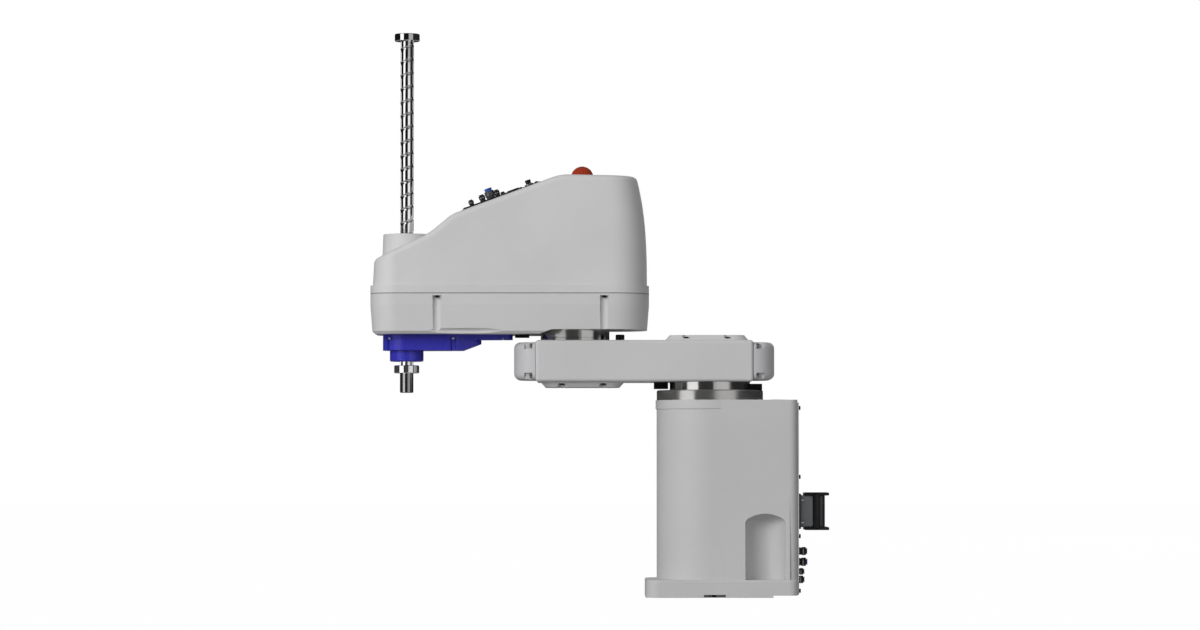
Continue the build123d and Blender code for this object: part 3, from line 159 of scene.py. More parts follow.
# Lamp: its lens as radius and height, its base ring as distance out from the lens and height
LAMP_R, LAMP_H, LAMP_RIM_H = 16.8, 15.0, 1.8
LAMP_CURVE = ((16.3, 2.4), (15.6, 4.4), (14.4, 6.9), (12.7, 9.3), (10.4, 11.5), (7.7, 13.2), (4.9, 14.3),
              (2.3, 14.9))
LAMP_RIBS, LAMP_RIB_DEPTH, LAMP_RIB_FACETS = 20, 0.8, 6
LAMP_RIBS_ABOVE, LAMP_RIBS_BEYOND = 2.7, 3.0
LAMP_RING = ((-3.0, -0.2), (1.0, -0.2), (1.0, 0.7), (0.4, 1.3), (-3.0, 1.3))

# Power and signal socket: where its slabs end, and each slab's half width, half height and rounding
SOCKET_FLANGE_T, SHELL_START, SHELL_END = 4.9, 2.5, 152.1
PLUG_START, PLUG_END = 160.6, 167.4
SEAL_IN_SHELL, SEAL_IN_PLUG, RIM_IN_PLUG, RIM_PAST_PLUG = 1.0, 0.5, 1.5, 1.6
FLANGE_SLAB, SHELL_SLAB, SEAL_SLAB = (33.0, 26.0, 1.0), (28.0, 23.6, 4.0), (27.0, 23.5, 1.2)
PLUG_SLAB, RIM_SLAB = (26.0, 24.0, 2.0), (28.0, 24.5, 0.7)
SLAB_SEGMENTS, SHELL_SEGMENTS = 3, 4
SOCKET_SCREW_Y, SOCKET_SCREW_UP, SOCKET_SCREW_R, SOCKET_SCREW_H = 30.0, 16.6, 2.6, 4.4
LEVER_T, LEVER_EDGE, LEVER_SEGMENTS = 4.5, 1.89, 4
CHEEK_Y, CHEEK_X, CHEEK_INSET, CHEEK_EDGE = 28.4, (0.5, 8.0), 1.0, 0.5

# Finishes: the noise's own roughness, where it blends from one colour to the other, and how a
# pattern is stretched
NOISE_ROUGHNESS, BLEND_FROM, BLEND_TO = 0.55, 0.35, 0.65
EVEN, ROUND_THE_AXIS, ALONG_Y = (1.0, 1.0, 1.0), (0.02, 0.02, 1.0), (1.0, 0.05, 1.0)


def srgb(r, g, b):
    """A colour read in the photograph's 0 to 255 scale, as linear light."""
    def channel(v):
        v /= 255.0
        return v / 12.92 if v <= 0.04045 else ((v + 0.055) / 1.055) ** 2.4
    return channel(r), channel(g), channel(b), 1.0


def scaled(colour, factor):
    return tuple(min(1.0, c * factor) for c in colour[:3]) + (1.0,)


def feed(tree, socket, value):
    """Links an output to a socket, or writes a plain value into it."""
    if hasattr(value, "is_linked"):
        tree.links.new(value, socket)
    else:
        socket.default_value = value


class Finish:
    """A node material on Object coordinates, built up by a few short calls."""

    def __init__(self, name):
        self.material = bpy.data.materials.new(name)
        self.material.use_nodes = True
        self.tree = self.material.node_tree
        self.shader = next(n for n in self.tree.nodes if n.type == "BSDF_PRINCIPLED")
        self.place = self.tree.nodes.new("ShaderNodeTexCoord").outputs["Object"]

    def node(self, kind, inputs):
        made = self.tree.nodes.new(kind)
        for socket, value in inputs.items():
            feed(self.tree, made.inputs[socket], value)
        return made

    def noise(self, scale, detail=3.0, stretch=EVEN):
        spot = self.node("ShaderNodeMapping", {"Vector": self.place, "Scale": stretch}).outputs["Vector"]
        inputs = {"Vector": spot, "Scale": scale, "Detail": detail, "Roughness": NOISE_ROUGHNESS}
        return self.node("ShaderNodeTexNoise", inputs).outputs["Fac"]

    def spread(self, source, low, high, start=0.3, end=0.7):
        inputs = {"Value": source, "From Min": start, "From Max": end, "To Min": low, "To Max": high}
        return self.node("ShaderNodeMapRange", inputs).outputs["Result"]

    def colours(self, source, first, second):
        ramp = self.node("ShaderNodeValToRGB", {"Fac": source})
        start, end = ramp.color_ramp.elements
        start.position, start.color = BLEND_FROM, first
        end.position, end.color = BLEND_TO, second
        return ramp.outputs["Color"]

    def set(self, **values):
        for name, value in values.items():
            feed(self.tree, self.shader.inputs[name.replace("_", " ")], value)

    def bump(self, source, strength, distance=0.0002):
        inputs = {"Height": source, "Strength": strength, "Distance": distance}
        self.set(Normal=self.node("ShaderNodeBump", inputs).outputs["Normal"])


def satin_paint(name, colour, grain=900.0):
    """Baked powder coat: a fine orange peel, faint shade drift and a little uneven gloss."""
    paint = Finish(name)
    drift = paint.noise(scale=6.0, detail=4.0)
    paint.set(Base_Color=paint.colours(drift, scaled(colour, 0.965), scaled(colour, 1.02)))
    paint.set(Roughness=paint.spread(paint.noise(scale=38.0, detail=5.0), low=0.40, high=0.52))
    paint.set(Specular_IOR_Level=0.42)
    paint.bump(paint.noise(grain, detail=2.0), strength=0.10)
    return paint.material


def moulded_plastic(name, colour, grain=1500.0, gloss=0.44, shine=0.5):
    """Injection moulding with a spark-eroded grain."""
    plastic = Finish(name)
    drift = plastic.noise(scale=9.0)
    plastic.set(Base_Color=plastic.colours(drift, scaled(colour, 0.97), scaled(colour, 1.02)))
    patches = plastic.noise(scale=60.0, detail=4.0)
    plastic.set(Roughness=plastic.spread(patches, low=gloss - 0.05, high=gloss + 0.07))
    plastic.set(Specular_IOR_Level=shine)
    plastic.bump(plastic.noise(grain, detail=2.0), strength=0.14)
    return plastic.material


def turned_steel(name, colour, stretch=ROUND_THE_AXIS, rough=0.16, metal=1.0, shade_below=None):
    """Ground steel: fine lines, an uneven polish and, if asked, a lower end painted darker as painted
    shade.
    """
    steel = Finish(name)
    lines = steel.noise(scale=2600.0, detail=2.0, stretch=stretch)
    patches = steel.noise(scale=24.0)
    tone = steel.colours(patches, scaled(colour, 0.93), colour)
    # Painted shade: below the given height the colour is mixed towards a darker steel, so the lower end
    # reflects dimmer
    if shade_below is not None:
        height = steel.node("ShaderNodeSeparateXYZ", {"Vector": steel.place}).outputs["Z"]
        shade_mask = steel.spread(height, SHADE_SHARE, 0.0, start=shade_below - SHADE_FADE, end=shade_below)
        mix = steel.node("ShaderNodeMixRGB", {"Fac": shade_mask, "Color1": tone, "Color2": SHADED_STEEL})
        tone = mix.outputs["Color"]
    steel.set(Metallic=metal, Base_Color=tone)
    steel.set(Roughness=steel.spread(patches, low=rough, high=rough + 0.07))
    steel.bump(lines, strength=0.05, distance=0.00005)
    return steel.material


# The darker steel colour painted on the shaft's lower end as painted shade
SHADED_STEEL = srgb(96, 96, 98)

PAINT = satin_paint("light_grey_powder_coat", srgb(206, 206, 206))
# The base's paint is the arms' powder coat set a little darker: painted shade for the dimmer light on the
# base
SHADED_BASE_PAINT = satin_paint("base_powder_coat_shaded", srgb(202, 202, 202))
MOTOR = satin_paint("motor_black", srgb(38, 38, 40), grain=700.0)

COVER_PAINT = moulded_plastic("light_grey_moulding", srgb(209, 209, 209))
CAP_MOULDING = moulded_plastic("end_cap_moulding", srgb(199, 199, 201))
BLUE = moulded_plastic("blue_moulding", srgb(53, 51, 180), grain=1200.0, gloss=0.3, shine=0.42)
BLUE_SLEEVE = moulded_plastic("blue_sleeve", srgb(40, 90, 190), grain=1200.0, gloss=0.35)
BLACK = moulded_plastic("black_moulding", srgb(26, 26, 29), grain=1300.0, gloss=0.36)
DARK_GREY = moulded_plastic("dark_grey_moulding", srgb(74, 74, 80), grain=1300.0, gloss=0.5)
SOCKET_GREY = moulded_plastic("socket_grey_moulding", srgb(142, 146, 150), grain=1300.0, gloss=0.5)
# Mid-grey strip on the second arm's seam: painted shade for the shadow in the split line
SEAM_SHADE = moulded_plastic("seam_painted_shade", srgb(140, 140, 140), grain=1600.0, gloss=0.6)
RUBBER = moulded_plastic("belt_rubber", srgb(30, 30, 31), grain=1600.0, gloss=0.7)
LENS = moulded_plastic("lamp_lens", srgb(164, 54, 26), grain=900.0, gloss=0.14, shine=0.7)

STEEL = turned_steel("ground_steel", srgb(192, 191, 190), metal=0.9)
FLANGE_STEEL = turned_steel("polished_steel", srgb(198, 197, 196), rough=0.1)
SHAFT_STEEL = turned_steel("shaft_steel", srgb(246, 246, 247), rough=0.05, shade_below=SHAFT_SHADE_Z)
ZINC = turned_steel("zinc_steel", srgb(196, 196, 192), stretch=EVEN, rough=0.3)
BLACK_STEEL = turned_steel("black_oxide", srgb(42, 42, 44), stretch=EVEN, rough=0.34)
ALUMINIUM = turned_steel("machined_aluminium", srgb(202, 204, 206), stretch=ALONG_Y, rough=0.3)

# The finish of each CAD node that stays in view; the others have a piece of their own below
NODE_FINISH = {
    PAINT: ("arm1_casting", "arm2_housing"),
    SHADED_BASE_PAINT: ("base_column", "rear_panel", "base_plug"),
    MOTOR: ("j1_motor", "j2_motor", "j3_motor", "j3_brake", "j4_motor"),
    COVER_PAINT: ("arm2_cover", "j1_top_cover", "j2_bottom_cover"),
    CAP_MOULDING: ("arm1_front_cap", "arm1_rear_cap"),
    BLUE: ("nut_housing",),
    BLACK: ("user_plate", "brake_button"),
    RUBBER: ("j4_belt", "j3_belt"),
    STEEL: ("j1_reducer", "ball_nut", "spline_nut", "ball_nut_bearing", "spline_bearing"),
    FLANGE_STEEL: ("j1_output_flange", "j2_output_flange", "j2_reducer"),
    SHAFT_STEEL: ("lower_collar", "upper_collar"),
    ZINC: ("arm1_cap_screws", "nut_housing_screws", "button_collar"),
    BLACK_STEEL: ("j1_moving_stop", "j1_fixed_stop", "j2_stop_pins", "j2_stop_plate", "rear_panel_screws",
                  "foot_screws", "cover_plate_screws", "groove_screws"),
    ALUMINIUM: ("drive_bracket", "j3_motor_plate", "j4_nut_pulley", "j3_nut_pulley", "j4_motor_pulley",
                "j3_motor_pulley"),
}


def finish_nodes():
    for finish, names in NODE_FINISH.items():
        for name in names:
            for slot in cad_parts[name].material_slots:
                slot.material = finish


class Form:
    """A mesh built in millimetres about its own Z axis, then set in place and named."""

    def __init__(self, *places):
        self.bm = bmesh.new()
        self.places = places or (Matrix(),)

    def lathe(self, outline, steps=LATHE_STEPS):
        """Turns a closed outline of (radius, height) points a full turn round Z."""
        rim = [self.bm.verts.new((r, 0.0, z)) for r, z in outline]
        edges = [self.bm.edges.new(pair) for pair in zip(rim, rim[1:] + rim[:1])]
        edges = [e for e in edges if any(v.co.x > 0.0 for v in e.verts)]
        bmesh.ops.spin(self.bm, geom=rim + edges, cent=(0, 0, 0), axis=(0, 0, 1), angle=2 * pi,
                       steps=steps, use_merge=True)
        bmesh.ops.remove_doubles(self.bm, verts=self.bm.verts, dist=WELD)
        return self

    def prism(self, sides, r, z0, z1, bevel):
        place = Matrix.Translation((0.0, 0.0, (z0 + z1) / 2))
        made = bmesh.ops.create_cone(self.bm, cap_ends=True, segments=sides, radius1=r, radius2=r,
                                     depth=z1 - z0, matrix=place)
        return self.rounded(made["verts"], bevel, 2)

    def block(self, low, high, bevel=0.0, segments=3):
        size = [b - a for a, b in zip(low, high)]
        centre = [(a + b) / 2 for a, b in zip(low, high)]
        place = Matrix.Translation(centre) @ Matrix.Diagonal((*size, 1.0))
        made = bmesh.ops.create_cube(self.bm, size=1.0, matrix=place)
        return self.rounded(made["verts"], bevel, segments) if bevel else self

    def rounded(self, verts, bevel, segments):
        edges = list({e for v in verts for e in v.link_edges})
        bmesh.ops.bevel(self.bm, geom=edges, offset=bevel, offset_type="OFFSET", segments=segments,
                        profile=0.5, affect="EDGES", material=-1)
        return self

    def ride(self, name, body, finish, slot, stands_for=(), sharp=SHARP_ANGLE):
        """Repeats the form at each place, names it and lets it ride on a body."""
        form = bpy.data.meshes.new(name)
        bmesh.ops.recalc_face_normals(self.bm, faces=self.bm.faces)
        self.bm.to_mesh(form)
        self.bm.free()
        whole = bmesh.new()
        for place in self.places:
            start = len(whole.verts)
            whole.from_mesh(form)
            whole.verts.ensure_lookup_table()
            bmesh.ops.transform(whole, matrix=place, verts=whole.verts[start:])
        bmesh.ops.scale(whole, vec=(MM, MM, MM), verts=whole.verts)
        whole.to_mesh(form)
        whole.free()
        form.materials.append(finish)
        form.shade_smooth()
        form.set_sharp_from_angle(angle=radians(sharp))
        piece = bpy.data.objects.new(name, form)
        bpy.context.scene.collection.objects.link(piece)
        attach(piece, body)
        if stands_for:
            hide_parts(*stands_for)


def corners(node):
    """A node's lowest and highest corners, in millimetres."""
    low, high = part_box(node)
    return Vector(low) / MM, Vector(high) / MM


def middle(node):
    low, high = corners(node)
    return (low + high) / 2


def shares(outline, r, length):
    """An outline given in shares of a radius and a length, in millimetres."""
    return [(r * across, length * along) for across, along in outline]


def groove_drop(across, half_w, depth):
    """How far a round-bottomed groove sinks the surface at this distance from its middle."""
    if abs(across) >= half_w:
        return 0.0
    return depth * sqrt(1.0 - (across / half_w) ** 2)


def shaft_drop(turn, z, start):
    """The deeper of the ball track's helix and the straight ball grooves, which fade in above start."""
    along = (z - turn / (2 * pi) * TRACK_LEAD + TRACK_LEAD / 2) % TRACK_LEAD - TRACK_LEAD / 2
    helix = groove_drop(along, TRACK_HALF_W, TRACK_DEPTH)
    pitch = 2 * pi / SPLINE_GROOVES
    across = ((turn - SPLINE_TURN + pitch / 2) % pitch - pitch / 2) * SHAFT_R
    straight = groove_drop(across, SPLINE_HALF_W, SPLINE_DEPTH)
    return max(helix, straight) * min(1.0, max(0.0, (z - start) / GROOVE_FADE))


def grooved_shaft():
    """The hollow shaft: a plain end, a neck below the collar, then the grooved length in fine rings."""
    low, high = corners("z_shaft")
    neck = corners("lower_collar")[0].z - NECK_BELOW_COLLAR
    r, bore, edge, slim = SHAFT_R, SHAFT_BORE_R, SHAFT_EDGE, SHAFT_R - NECK_DEPTH
    outline = [(bore, low.z + edge), (bore + edge, low.z), (r - edge, low.z), (r, low.z + edge), (r, neck),
               (slim, neck + NECK_DEPTH), (slim, neck + NECK_H - NECK_DEPTH), (r, neck + NECK_H)]
    rings = round((high.z - neck - SHAFT_PLAIN_ENDS) / SHAFT_RING)
    first, last = neck + GROOVES_ABOVE_NECK, high.z - edge
    outline += [(r, first + (last - first) * i / rings) for i in range(rings + 1)]
    outline += [(r - edge, high.z), (bore + edge, high.z), (bore, high.z - edge)]
    x, y = middle("z_shaft").xy
    form = Form(Matrix.Translation((x, y, 0.0))).lathe(outline, SHAFT_SIDES)
    for v in form.bm.verts:
        if v.co.z > first and hypot(v.co.x, v.co.y) > r - SKIN:
            drop = shaft_drop(atan2(v.co.y, v.co.x), v.co.z, first)
            v.co.xy *= (r - drop) / r
    form.ride("grooved_shaft", "shaft", SHAFT_STEEL, "ground_steel", ["z_shaft"])


def band_outline(inner_r, outer_r, z0, z1, edge):
    return [(inner_r, z0), (outer_r, z0 + edge), (outer_r, z1 - edge), (inner_r, z1)]


def fitting_body(place, r, reach):
    """Hexagon root and round body with a rolled shoulder."""
    end = reach * FITTING_BODY_END
    shoulder = [(r * across, end + r * back) for across, back in FITTING_SHOULDER]
    form = Form(place).prism(HEXAGON, r, 0.0, reach * FITTING_ROOT_H, r * FITTING_ROOT_EDGE)
    return form.lathe(shares(FITTING_WAIST, r, reach) + shoulder)


def fitting_band(place, r, reach):
    """A bright metal band round the body."""
    (inner, outer), (start, end) = FITTING_BAND_R, FITTING_BAND_Z
    outline = band_outline(r * inner, r * outer, reach * start, reach * end, FITTING_BAND_EDGE)
    return Form(place).lathe(outline)


def fitting(name, place, r, reach, body, sleeve_finish, sleeve_slot, stands_for=()):
    """A push-in air fitting: its body, the release sleeve with its thin push flange, and the band."""
    fitting_body(place, r, reach).ride(name + "_body", body, BLACK, "black_plastic", stands_for)
    sleeve = Form(place).lathe(shares(FITTING_SLEEVE, r, reach))
    sleeve.ride(name + "_sleeve", body, sleeve_finish, sleeve_slot)
    fitting_band(place, r, reach).ride(name + "_band", body, ZINC, "zinc_steel")


def rear_place(y, z, out=0.0):
    """A place on the rear panel's face, or further out, with Z pointing away from it."""
    face = corners("rear_panel")[1].x + out
    return Matrix.Translation((face, y, z)) @ Matrix.Rotation(pi / 2, 4, "Y")


def rear_air_fittings():
    for i, (y, z, r, reach) in enumerate(REAR_FITTINGS):
        blue = i == BLUE_FITTING
        stands_for = ["blue_air_fitting"] if blue else ["air_fittings"] if i == 0 else []
        finish, slot = (BLUE_SLEEVE, "blue_fitting") if blue else (BLACK, "black_plastic")
        fitting("rear_fitting_%d" % (i + 1), rear_place(y, z), r, reach, "base", finish, slot, stands_for)


def roof_place(s, y, lift=0.0):
    """A place on the sloping user plate, s up from its low edge, with Z square to it."""
    low = corners("user_plate")[0]
    a = radians(ROOF_SLOPE)
    x = low.x + ROOF_PLATE_T * sin(a) + s * cos(a) - (ROOF_PLATE_T + lift) * sin(a)
    z = low.z + s * sin(a) + (ROOF_PLATE_T + lift) * cos(a)
    return Matrix.Translation((x, y, z)) @ Matrix.Rotation(-a, 4, "Y")


def roof_fittings():
    for i, (s, y, r, reach) in enumerate(ROOF_FITTINGS):
        stands_for = ["user_fittings"] if i == 0 else []
        fitting("roof_fitting_%d" % (i + 1), roof_place(s, y), r, reach, "arm2", DARK_GREY, "grey_plastic",
                stands_for)


def air_inlet():
    """The large fitting on the roof, with bright bands and a blue end."""
    s, y, r, reach = AIR_INLET
    place = roof_place(s, y)
    body = Form(place).prism(HEXAGON, r, 0.0, reach * INLET_ROOT_H, INLET_ROOT_EDGE)
    body.lathe(shares(INLET_BODY, r, reach))
    body.ride("air_inlet_body", "arm2", DARK_GREY, "grey_plastic", ["signal_fitting"])
    inner, outer = INLET_BAND_R
    for i in range(INLET_BANDS):
        z = reach * (INLET_BAND_Z + INLET_BAND_STEP * i)
        band = Form(place).lathe(band_outline(r * inner, r * outer, z, z + INLET_BAND_H, INLET_BAND_EDGE))
        band.ride("air_inlet_band_%d" % (i + 1), "arm2", ZINC, "zinc_steel")
    sleeve = Form(place).lathe(shares(INLET_SLEEVE, r, reach))
    sleeve.ride("air_inlet_sleeve", "arm2", BLUE_SLEEVE, "blue_fitting")


def screw_heads(name, places, r, h, body, finish, slot, stands_for=()):
    """Round heads, each with its recess."""
    heads = Form(*places).lathe(shares(SCREW_HEAD, r, h), SCREW_SIDES)
    heads.ride(name, body, finish, slot, stands_for)


def user_plate_details():
    """The raised plate under the fittings and the user plate's screws."""
    (s0, s1), (y0, y1) = FITTING_PLATE_S, FITTING_PLATE_Y
    plate = Form(roof_place(0.0, 0.0))
    plate.block((s0, y0, -ROOF_SINK), (s1, y1, FITTING_PLATE_H), FITTING_PLATE_EDGE)
    plate.ride("fitting_plate", "arm2", BLACK, "black_plastic")
    places = [roof_place(s, y) for s in PLATE_SCREW_S for y in (-PLATE_SCREW_Y, PLATE_SCREW_Y)]
    screw_heads("user_plate_screws", places, PLATE_SCREW_R, PLATE_SCREW_H, "arm2", BLACK_STEEL,
                "black_steel")


def signal_socket():
    """The user plate's flat signal socket, its mouth and its two screws."""
    s0, s1 = SIGNAL_SOCKET_S
    half_l, half_w, top = (s1 - s0) / 2, SIGNAL_SOCKET_W / 2, SIGNAL_SOCKET_H
    body = Form(roof_place((s0 + s1) / 2, SIGNAL_SOCKET_Y))
    body.block((-half_l, -half_w, -ROOF_SINK), (half_l, half_w, top), SIGNAL_SOCKET_EDGE)
    mouth_l, mouth_w = half_l - SIGNAL_MOUTH_IN_S, half_w - SIGNAL_MOUTH_IN_Y
    body.block((-mouth_l, -mouth_w, top - SIGNAL_MOUTH_SINK), (mouth_l, mouth_w, top + SIGNAL_MOUTH_H),
               SIGNAL_MOUTH_EDGE)
    body.ride("signal_socket", "arm2", BLACK, "black_plastic")
    ends = [roof_place(s, SIGNAL_SOCKET_Y, top) for s in (s0 + SIGNAL_SCREW_IN, s1 - SIGNAL_SCREW_IN)]
    screw_heads("signal_socket_screws", ends, SIGNAL_SCREW_R, SIGNAL_SCREW_H, "arm2", ZINC, "zinc_steel")


def ribbed_lamp():
    """The lamp's lens, with shallow upright ribs, on its base ring."""
    x, y = middle("status_lamp").xy
    place = Matrix.Translation((x, y, corners("status_lamp")[1].z - LAMP_H))
    outline = [(0.0, 0.0), (LAMP_R, 0.0), (LAMP_R, LAMP_RIM_H), *LAMP_CURVE, (0.0, LAMP_H)]
    lens = Form(place).lathe(outline, LAMP_RIBS * LAMP_RIB_FACETS)
    for v in lens.bm.verts:
        r = hypot(v.co.x, v.co.y)
        if v.co.z > LAMP_RIBS_ABOVE and r > LAMP_RIBS_BEYOND:
            rib = cos(atan2(v.co.y, v.co.x) * LAMP_RIBS)
            v.co.xy *= 1.0 - LAMP_RIB_DEPTH * (0.5 - 0.5 * rib) / r
    lens.ride("lamp_lens", "arm2", LENS, "lamp_lens", ["status_lamp"], LAMP_SHARP_ANGLE)
    ring = Form(place).lathe([(LAMP_R + out, z) for out, z in LAMP_RING])
    ring.ride("lamp_base_ring", "arm2", DARK_GREY, "grey_plastic")


def socket_slab(name, x0, x1, slab, finish, slot, stands_for=(), segments=SLAB_SEGMENTS):
    """One of the slabs that make up the power socket and its plug, from x0 to x1 behind the base."""
    half_w, half_h, edge = slab
    z = middle("power_socket").z
    form = Form().block((x0, -half_w, z - half_h), (x1, half_w, z + half_h), edge, segments)
    form.ride(name, "base", finish, slot, stands_for)


def power_socket():
    """From the panel outwards: flange with its screws, shell, seal, and the plug's back and rim."""
    face = corners("rear_panel")[1].x
    socket_slab("socket_flange", face, face + SOCKET_FLANGE_T, FLANGE_SLAB, DARK_GREY, "grey_plastic")
    socket_slab("socket_shell", face + SHELL_START, SHELL_END, SHELL_SLAB, SOCKET_GREY, "grey_plastic",
                ["power_socket"], SHELL_SEGMENTS)
    socket_slab("socket_seal", SHELL_END - SEAL_IN_SHELL, PLUG_START + SEAL_IN_PLUG, SEAL_SLAB, BLACK,
                "black_plastic")
    socket_slab("plug_back", PLUG_START, PLUG_END, PLUG_SLAB, DARK_GREY, "grey_plastic")
    socket_slab("plug_rim", PLUG_END - RIM_IN_PLUG, PLUG_END + RIM_PAST_PLUG, RIM_SLAB, BLACK,
                "black_plastic")
    z = middle("power_socket").z
    places = [rear_place(y, z + up, SOCKET_FLANGE_T) for y in (-SOCKET_SCREW_Y, SOCKET_SCREW_Y)
              for up in (-SOCKET_SCREW_UP, SOCKET_SCREW_UP)]
    screw_heads("socket_screw_heads", places, SOCKET_SCREW_R, SOCKET_SCREW_H, "base", ZINC, "zinc_steel",
                ["socket_screws"])


def locking_levers():
    """The hood's two lever bars and the cheeks that join them at the sides."""
    low, high = corners("socket_hood")
    levers = Form()
    for z in (low.z, high.z - LEVER_T):
        levers.block((low.x, low.y, z), (high.x, high.y, z + LEVER_T), LEVER_EDGE, LEVER_SEGMENTS)
    x0, x1 = (SHELL_END + x for x in CHEEK_X)
    for side in (-1, 1):
        y0, y1 = sorted((side * CHEEK_Y, side * high.y))
        levers.block((x0, y0, low.z + CHEEK_INSET), (x1, y1, high.z - CHEEK_INSET), CHEEK_EDGE)
    levers.ride("locking_levers", "base", BLACK, "black_plastic", ["socket_hood"])


def hollowed(form, flats, width):
    """Cuts the middle out of a slab's two flat faces and joins the rims, leaving a ring."""
    rims = []
    for face in flats:
        bmesh.ops.inset_region(form.bm, faces=[face], thickness=width, use_even_offset=True)
        rims += face.edges
    bmesh.ops.delete(form.bm, geom=flats, context="FACES_ONLY")
    bmesh.ops.bridge_loops(form.bm, edges=rims)


def seam_shade_strip():
    """A mid-grey strip along the seam between the second arm's casting and its cover: painted shade
    standing for the shadow in the split line.
    """
    low, high = corners("arm2_housing")
    middle_x, half_h = middle("arm2_housing").x, SEAM_LINE_H / 2
    form = Form().block((low.x, low.y - SEAM_PROUD, high.z - half_h),
                        (high.x + SEAM_PROUD, high.y + SEAM_PROUD, high.z + half_h))
    uprights = [e for e in form.bm.edges if abs(e.verts[0].co.z - e.verts[1].co.z) > half_h]
    nose = [e for e in uprights if e.verts[0].co.x < middle_x]
    rear = [e for e in uprights if e.verts[0].co.x > middle_x]
    for edges, r in ((nose, ARM2_NOSE_R), (rear, ARM2_REAR_R)):
        bmesh.ops.bevel(form.bm, geom=edges, offset=r, offset_type="OFFSET", segments=SEAM_CORNER_STEPS,
                        profile=0.5, affect="EDGES", material=-1)
    form.bm.normal_update()
    hollowed(form, [f for f in form.bm.faces if abs(f.normal.z) > LEVEL_NORMAL], SEAM_LINE_W)
    form.ride("seam_shade_strip", "arm2", SEAM_SHADE, "black_plastic")


def aimed(thing, place, target):
    thing.location = place
    thing.rotation_euler = (Vector(target) - Vector(place)).to_track_quat("-Z", "Y").to_euler()
    bpy.context.scene.collection.objects.link(thing)


def soft_light(name, power, place, size):
    lamp = bpy.data.lights.new(name, "AREA")
    lamp.shape = "SQUARE"
    lamp.size = size
    lamp.energy = power
    light = bpy.data.objects.new(name, lamp)
    light.visible_glossy = False
    aimed(light, place, LIGHT_AIM)


def cleared_tree(owner):
    """Turns on the nodes of a material or a world and clears them."""
    owner.use_nodes = True
    owner.node_tree.nodes.clear()
    return owner.node_tree


def stage_piece(name, bm):
    """A studio object with a bare material; gives the object and the material's tree."""
    mesh = bpy.data.meshes.new(name)
    bm.to_mesh(mesh)
    bm.free()
    thing = bpy.data.objects.new(name, mesh)
    bpy.context.scene.collection.objects.link(thing)
    material = bpy.data.materials.new(name)
    mesh.materials.append(material)
    return thing, cleared_tree(material)


def combined(tree, operation, first, second):
    """A Math node on two outputs or values."""
    made = tree.nodes.new("ShaderNodeMath")
    made.operation = operation
    feed(tree, made.inputs[0], first)
    feed(tree, made.inputs[1], second)
    return made.outputs[0]


def white_to_eye(tree, lit, white, strength):
    """Mixes white over the lit result for camera, glossy and transmission rays."""
    path = tree.nodes.new("ShaderNodeLightPath").outputs
    mirrored = combined(tree, "MAXIMUM", path["Is Glossy Ray"], path["Is Transmission Ray"])
    seen = combined(tree, "MAXIMUM", path["Is Camera Ray"], mirrored)
    white.inputs["Color"].default_value = WHITE
    mix = tree.nodes.new("ShaderNodeMixShader")
    feed(tree, mix.inputs["Fac"], combined(tree, "MULTIPLY", seen, strength))
    feed(tree, mix.inputs[1], lit.outputs[0])
    feed(tree, mix.inputs[2], white.outputs[0])
    return mix.outputs[0]


def studio_floor():
    bm = bmesh.new()
    bmesh.ops.create_grid(bm, x_segments=1, y_segments=1, size=FLOOR_SIZE / 2)
    bmesh.ops.translate(bm, verts=bm.verts, vec=(0.0, 0.0, cad_low.z - FLOOR_DROP))
    floor, tree = stage_piece("studio_floor", bm)
    lit = tree.nodes.new("ShaderNodeBsdfDiffuse")
    lit.inputs["Color"].default_value = (FLOOR_SHADE, FLOOR_SHADE, FLOOR_SHADE, 1.0)
    white = tree.nodes.new("ShaderNodeEmission")
    out = tree.nodes.new("ShaderNodeOutputMaterial")
    feed(tree, out.inputs["Surface"], white_to_eye(tree, lit, white, FLOOR_WHITE))


def studio_world():
    world = bpy.data.worlds.new("studio")
    tree = cleared_tree(world)
    fill = tree.nodes.new("ShaderNodeBackground")
    fill.inputs["Color"].default_value = WHITE
    fill.inputs["Strength"].default_value = WORLD_FILL
    white = tree.nodes.new("ShaderNodeBackground")
    out = tree.nodes.new("ShaderNodeOutputWorld")
    feed(tree, out.inputs["Surface"], white_to_eye(tree, fill, white, WORLD_WHITE))
    bpy.context.scene.world = world


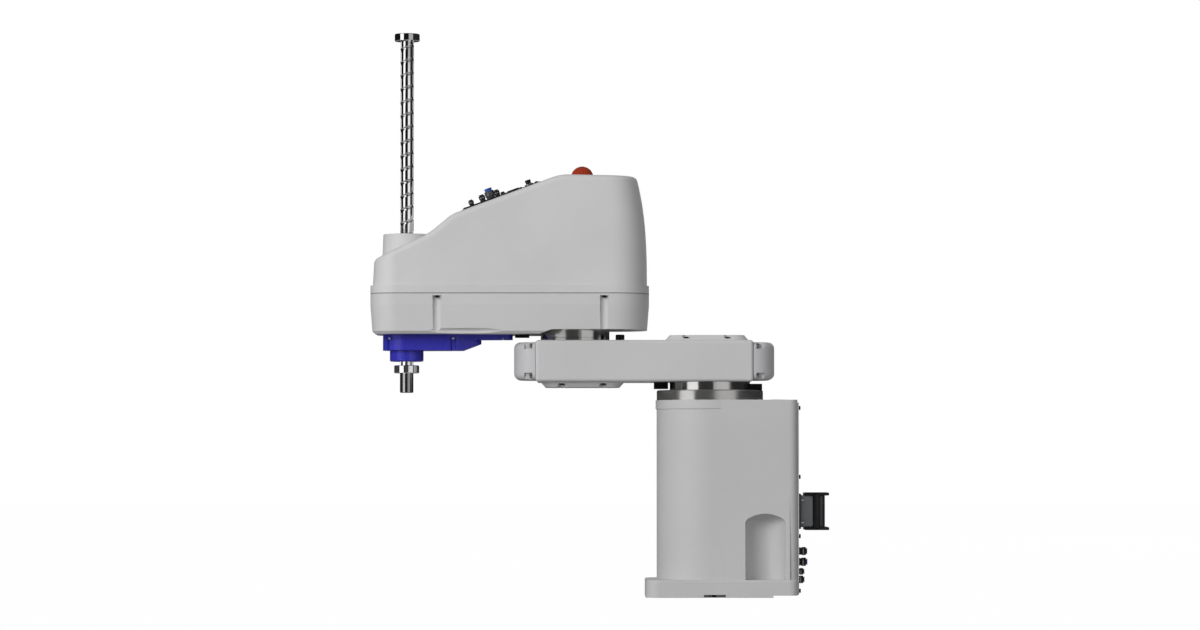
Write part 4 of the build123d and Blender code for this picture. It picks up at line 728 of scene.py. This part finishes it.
def glow_card(name, bm, level):
    """Puts up a card of even brightness that only polished surfaces see."""
    card, tree = stage_piece(name, bm)
    tone = tree.nodes.new("ShaderNodeEmission")
    tone.inputs["Color"].default_value = WHITE
    tone.inputs["Strength"].default_value = level
    out = tree.nodes.new("ShaderNodeOutputMaterial")
    feed(tree, out.inputs["Surface"], tone.outputs[0])
    card.visible_camera = card.visible_diffuse = card.visible_shadow = False
    card.visible_transmission = card.visible_volume_scatter = False


def curved_card(name, start, end, level, low, high):
    """A standing card bent round the robot; angles run from the camera's side to the right."""
    bm = bmesh.new()
    x, y = CARD_RADIUS * sin(radians(start)), -CARD_RADIUS * cos(radians(start))
    foot, head = bm.verts.new((x, y, low)), bm.verts.new((x, y, high))
    edge = bm.edges.new((foot, head))
    bmesh.ops.spin(bm, geom=[foot, head, edge], cent=(0, 0, 0), axis=(0, 0, 1), angle=radians(end - start),
                   steps=max(CARD_MIN_FACETS, round((end - start) / CARD_FACET)), use_merge=False)
    glow_card(name, bm, level)


def level_card(name, z, level):
    bm = bmesh.new()
    bmesh.ops.create_circle(bm, cap_ends=True, segments=LEVEL_CARD_SIDES, radius=CARD_RADIUS,
                            matrix=Matrix.Translation((0.0, 0.0, z)))
    glow_card(name, bm, level)


def cards():
    for (ring, ring_cards), low, high in zip(CARD_RINGS.items(), CARD_STEPS, CARD_STEPS[1:]):
        for i, (start, end, level) in enumerate(ring_cards):
            curved_card("%s_card_%d" % (ring, i), start, end, level, low, high)
    level_card("ceiling_card", CARD_STEPS[-1], CEILING_LEVEL)
    level_card("ground_card", cad_low.z - GROUND_CARD_DROP, GROUND_LEVEL)


def side_camera():
    """A long lens, so that the view is nearly parallel."""
    lens = bpy.data.cameras.new("camera")
    lens.lens = CAMERA_LENS
    lens.sensor_width = CAMERA_SENSOR
    lens.clip_end = CAMERA_REACH
    camera = bpy.data.objects.new("camera", lens)
    aimed(camera, CAMERA_AT, CAMERA_AIM)
    bpy.context.scene.camera = camera


def drawn_pieces():
    seam_shade_strip()
    grooved_shaft()
    rear_air_fittings()
    roof_fittings()
    air_inlet()
    user_plate_details()
    signal_socket()
    ribbed_lamp()
    power_socket()
    locking_levers()


def studio():
    studio_world()
    studio_floor()
    for name, (power, place, size) in SOFT_LIGHTS.items():
        soft_light(name, power, place, size)
    cards()
    side_camera()
    bpy.context.scene.view_settings.view_transform = "Standard"


finish_nodes()
drawn_pieces()
studio()
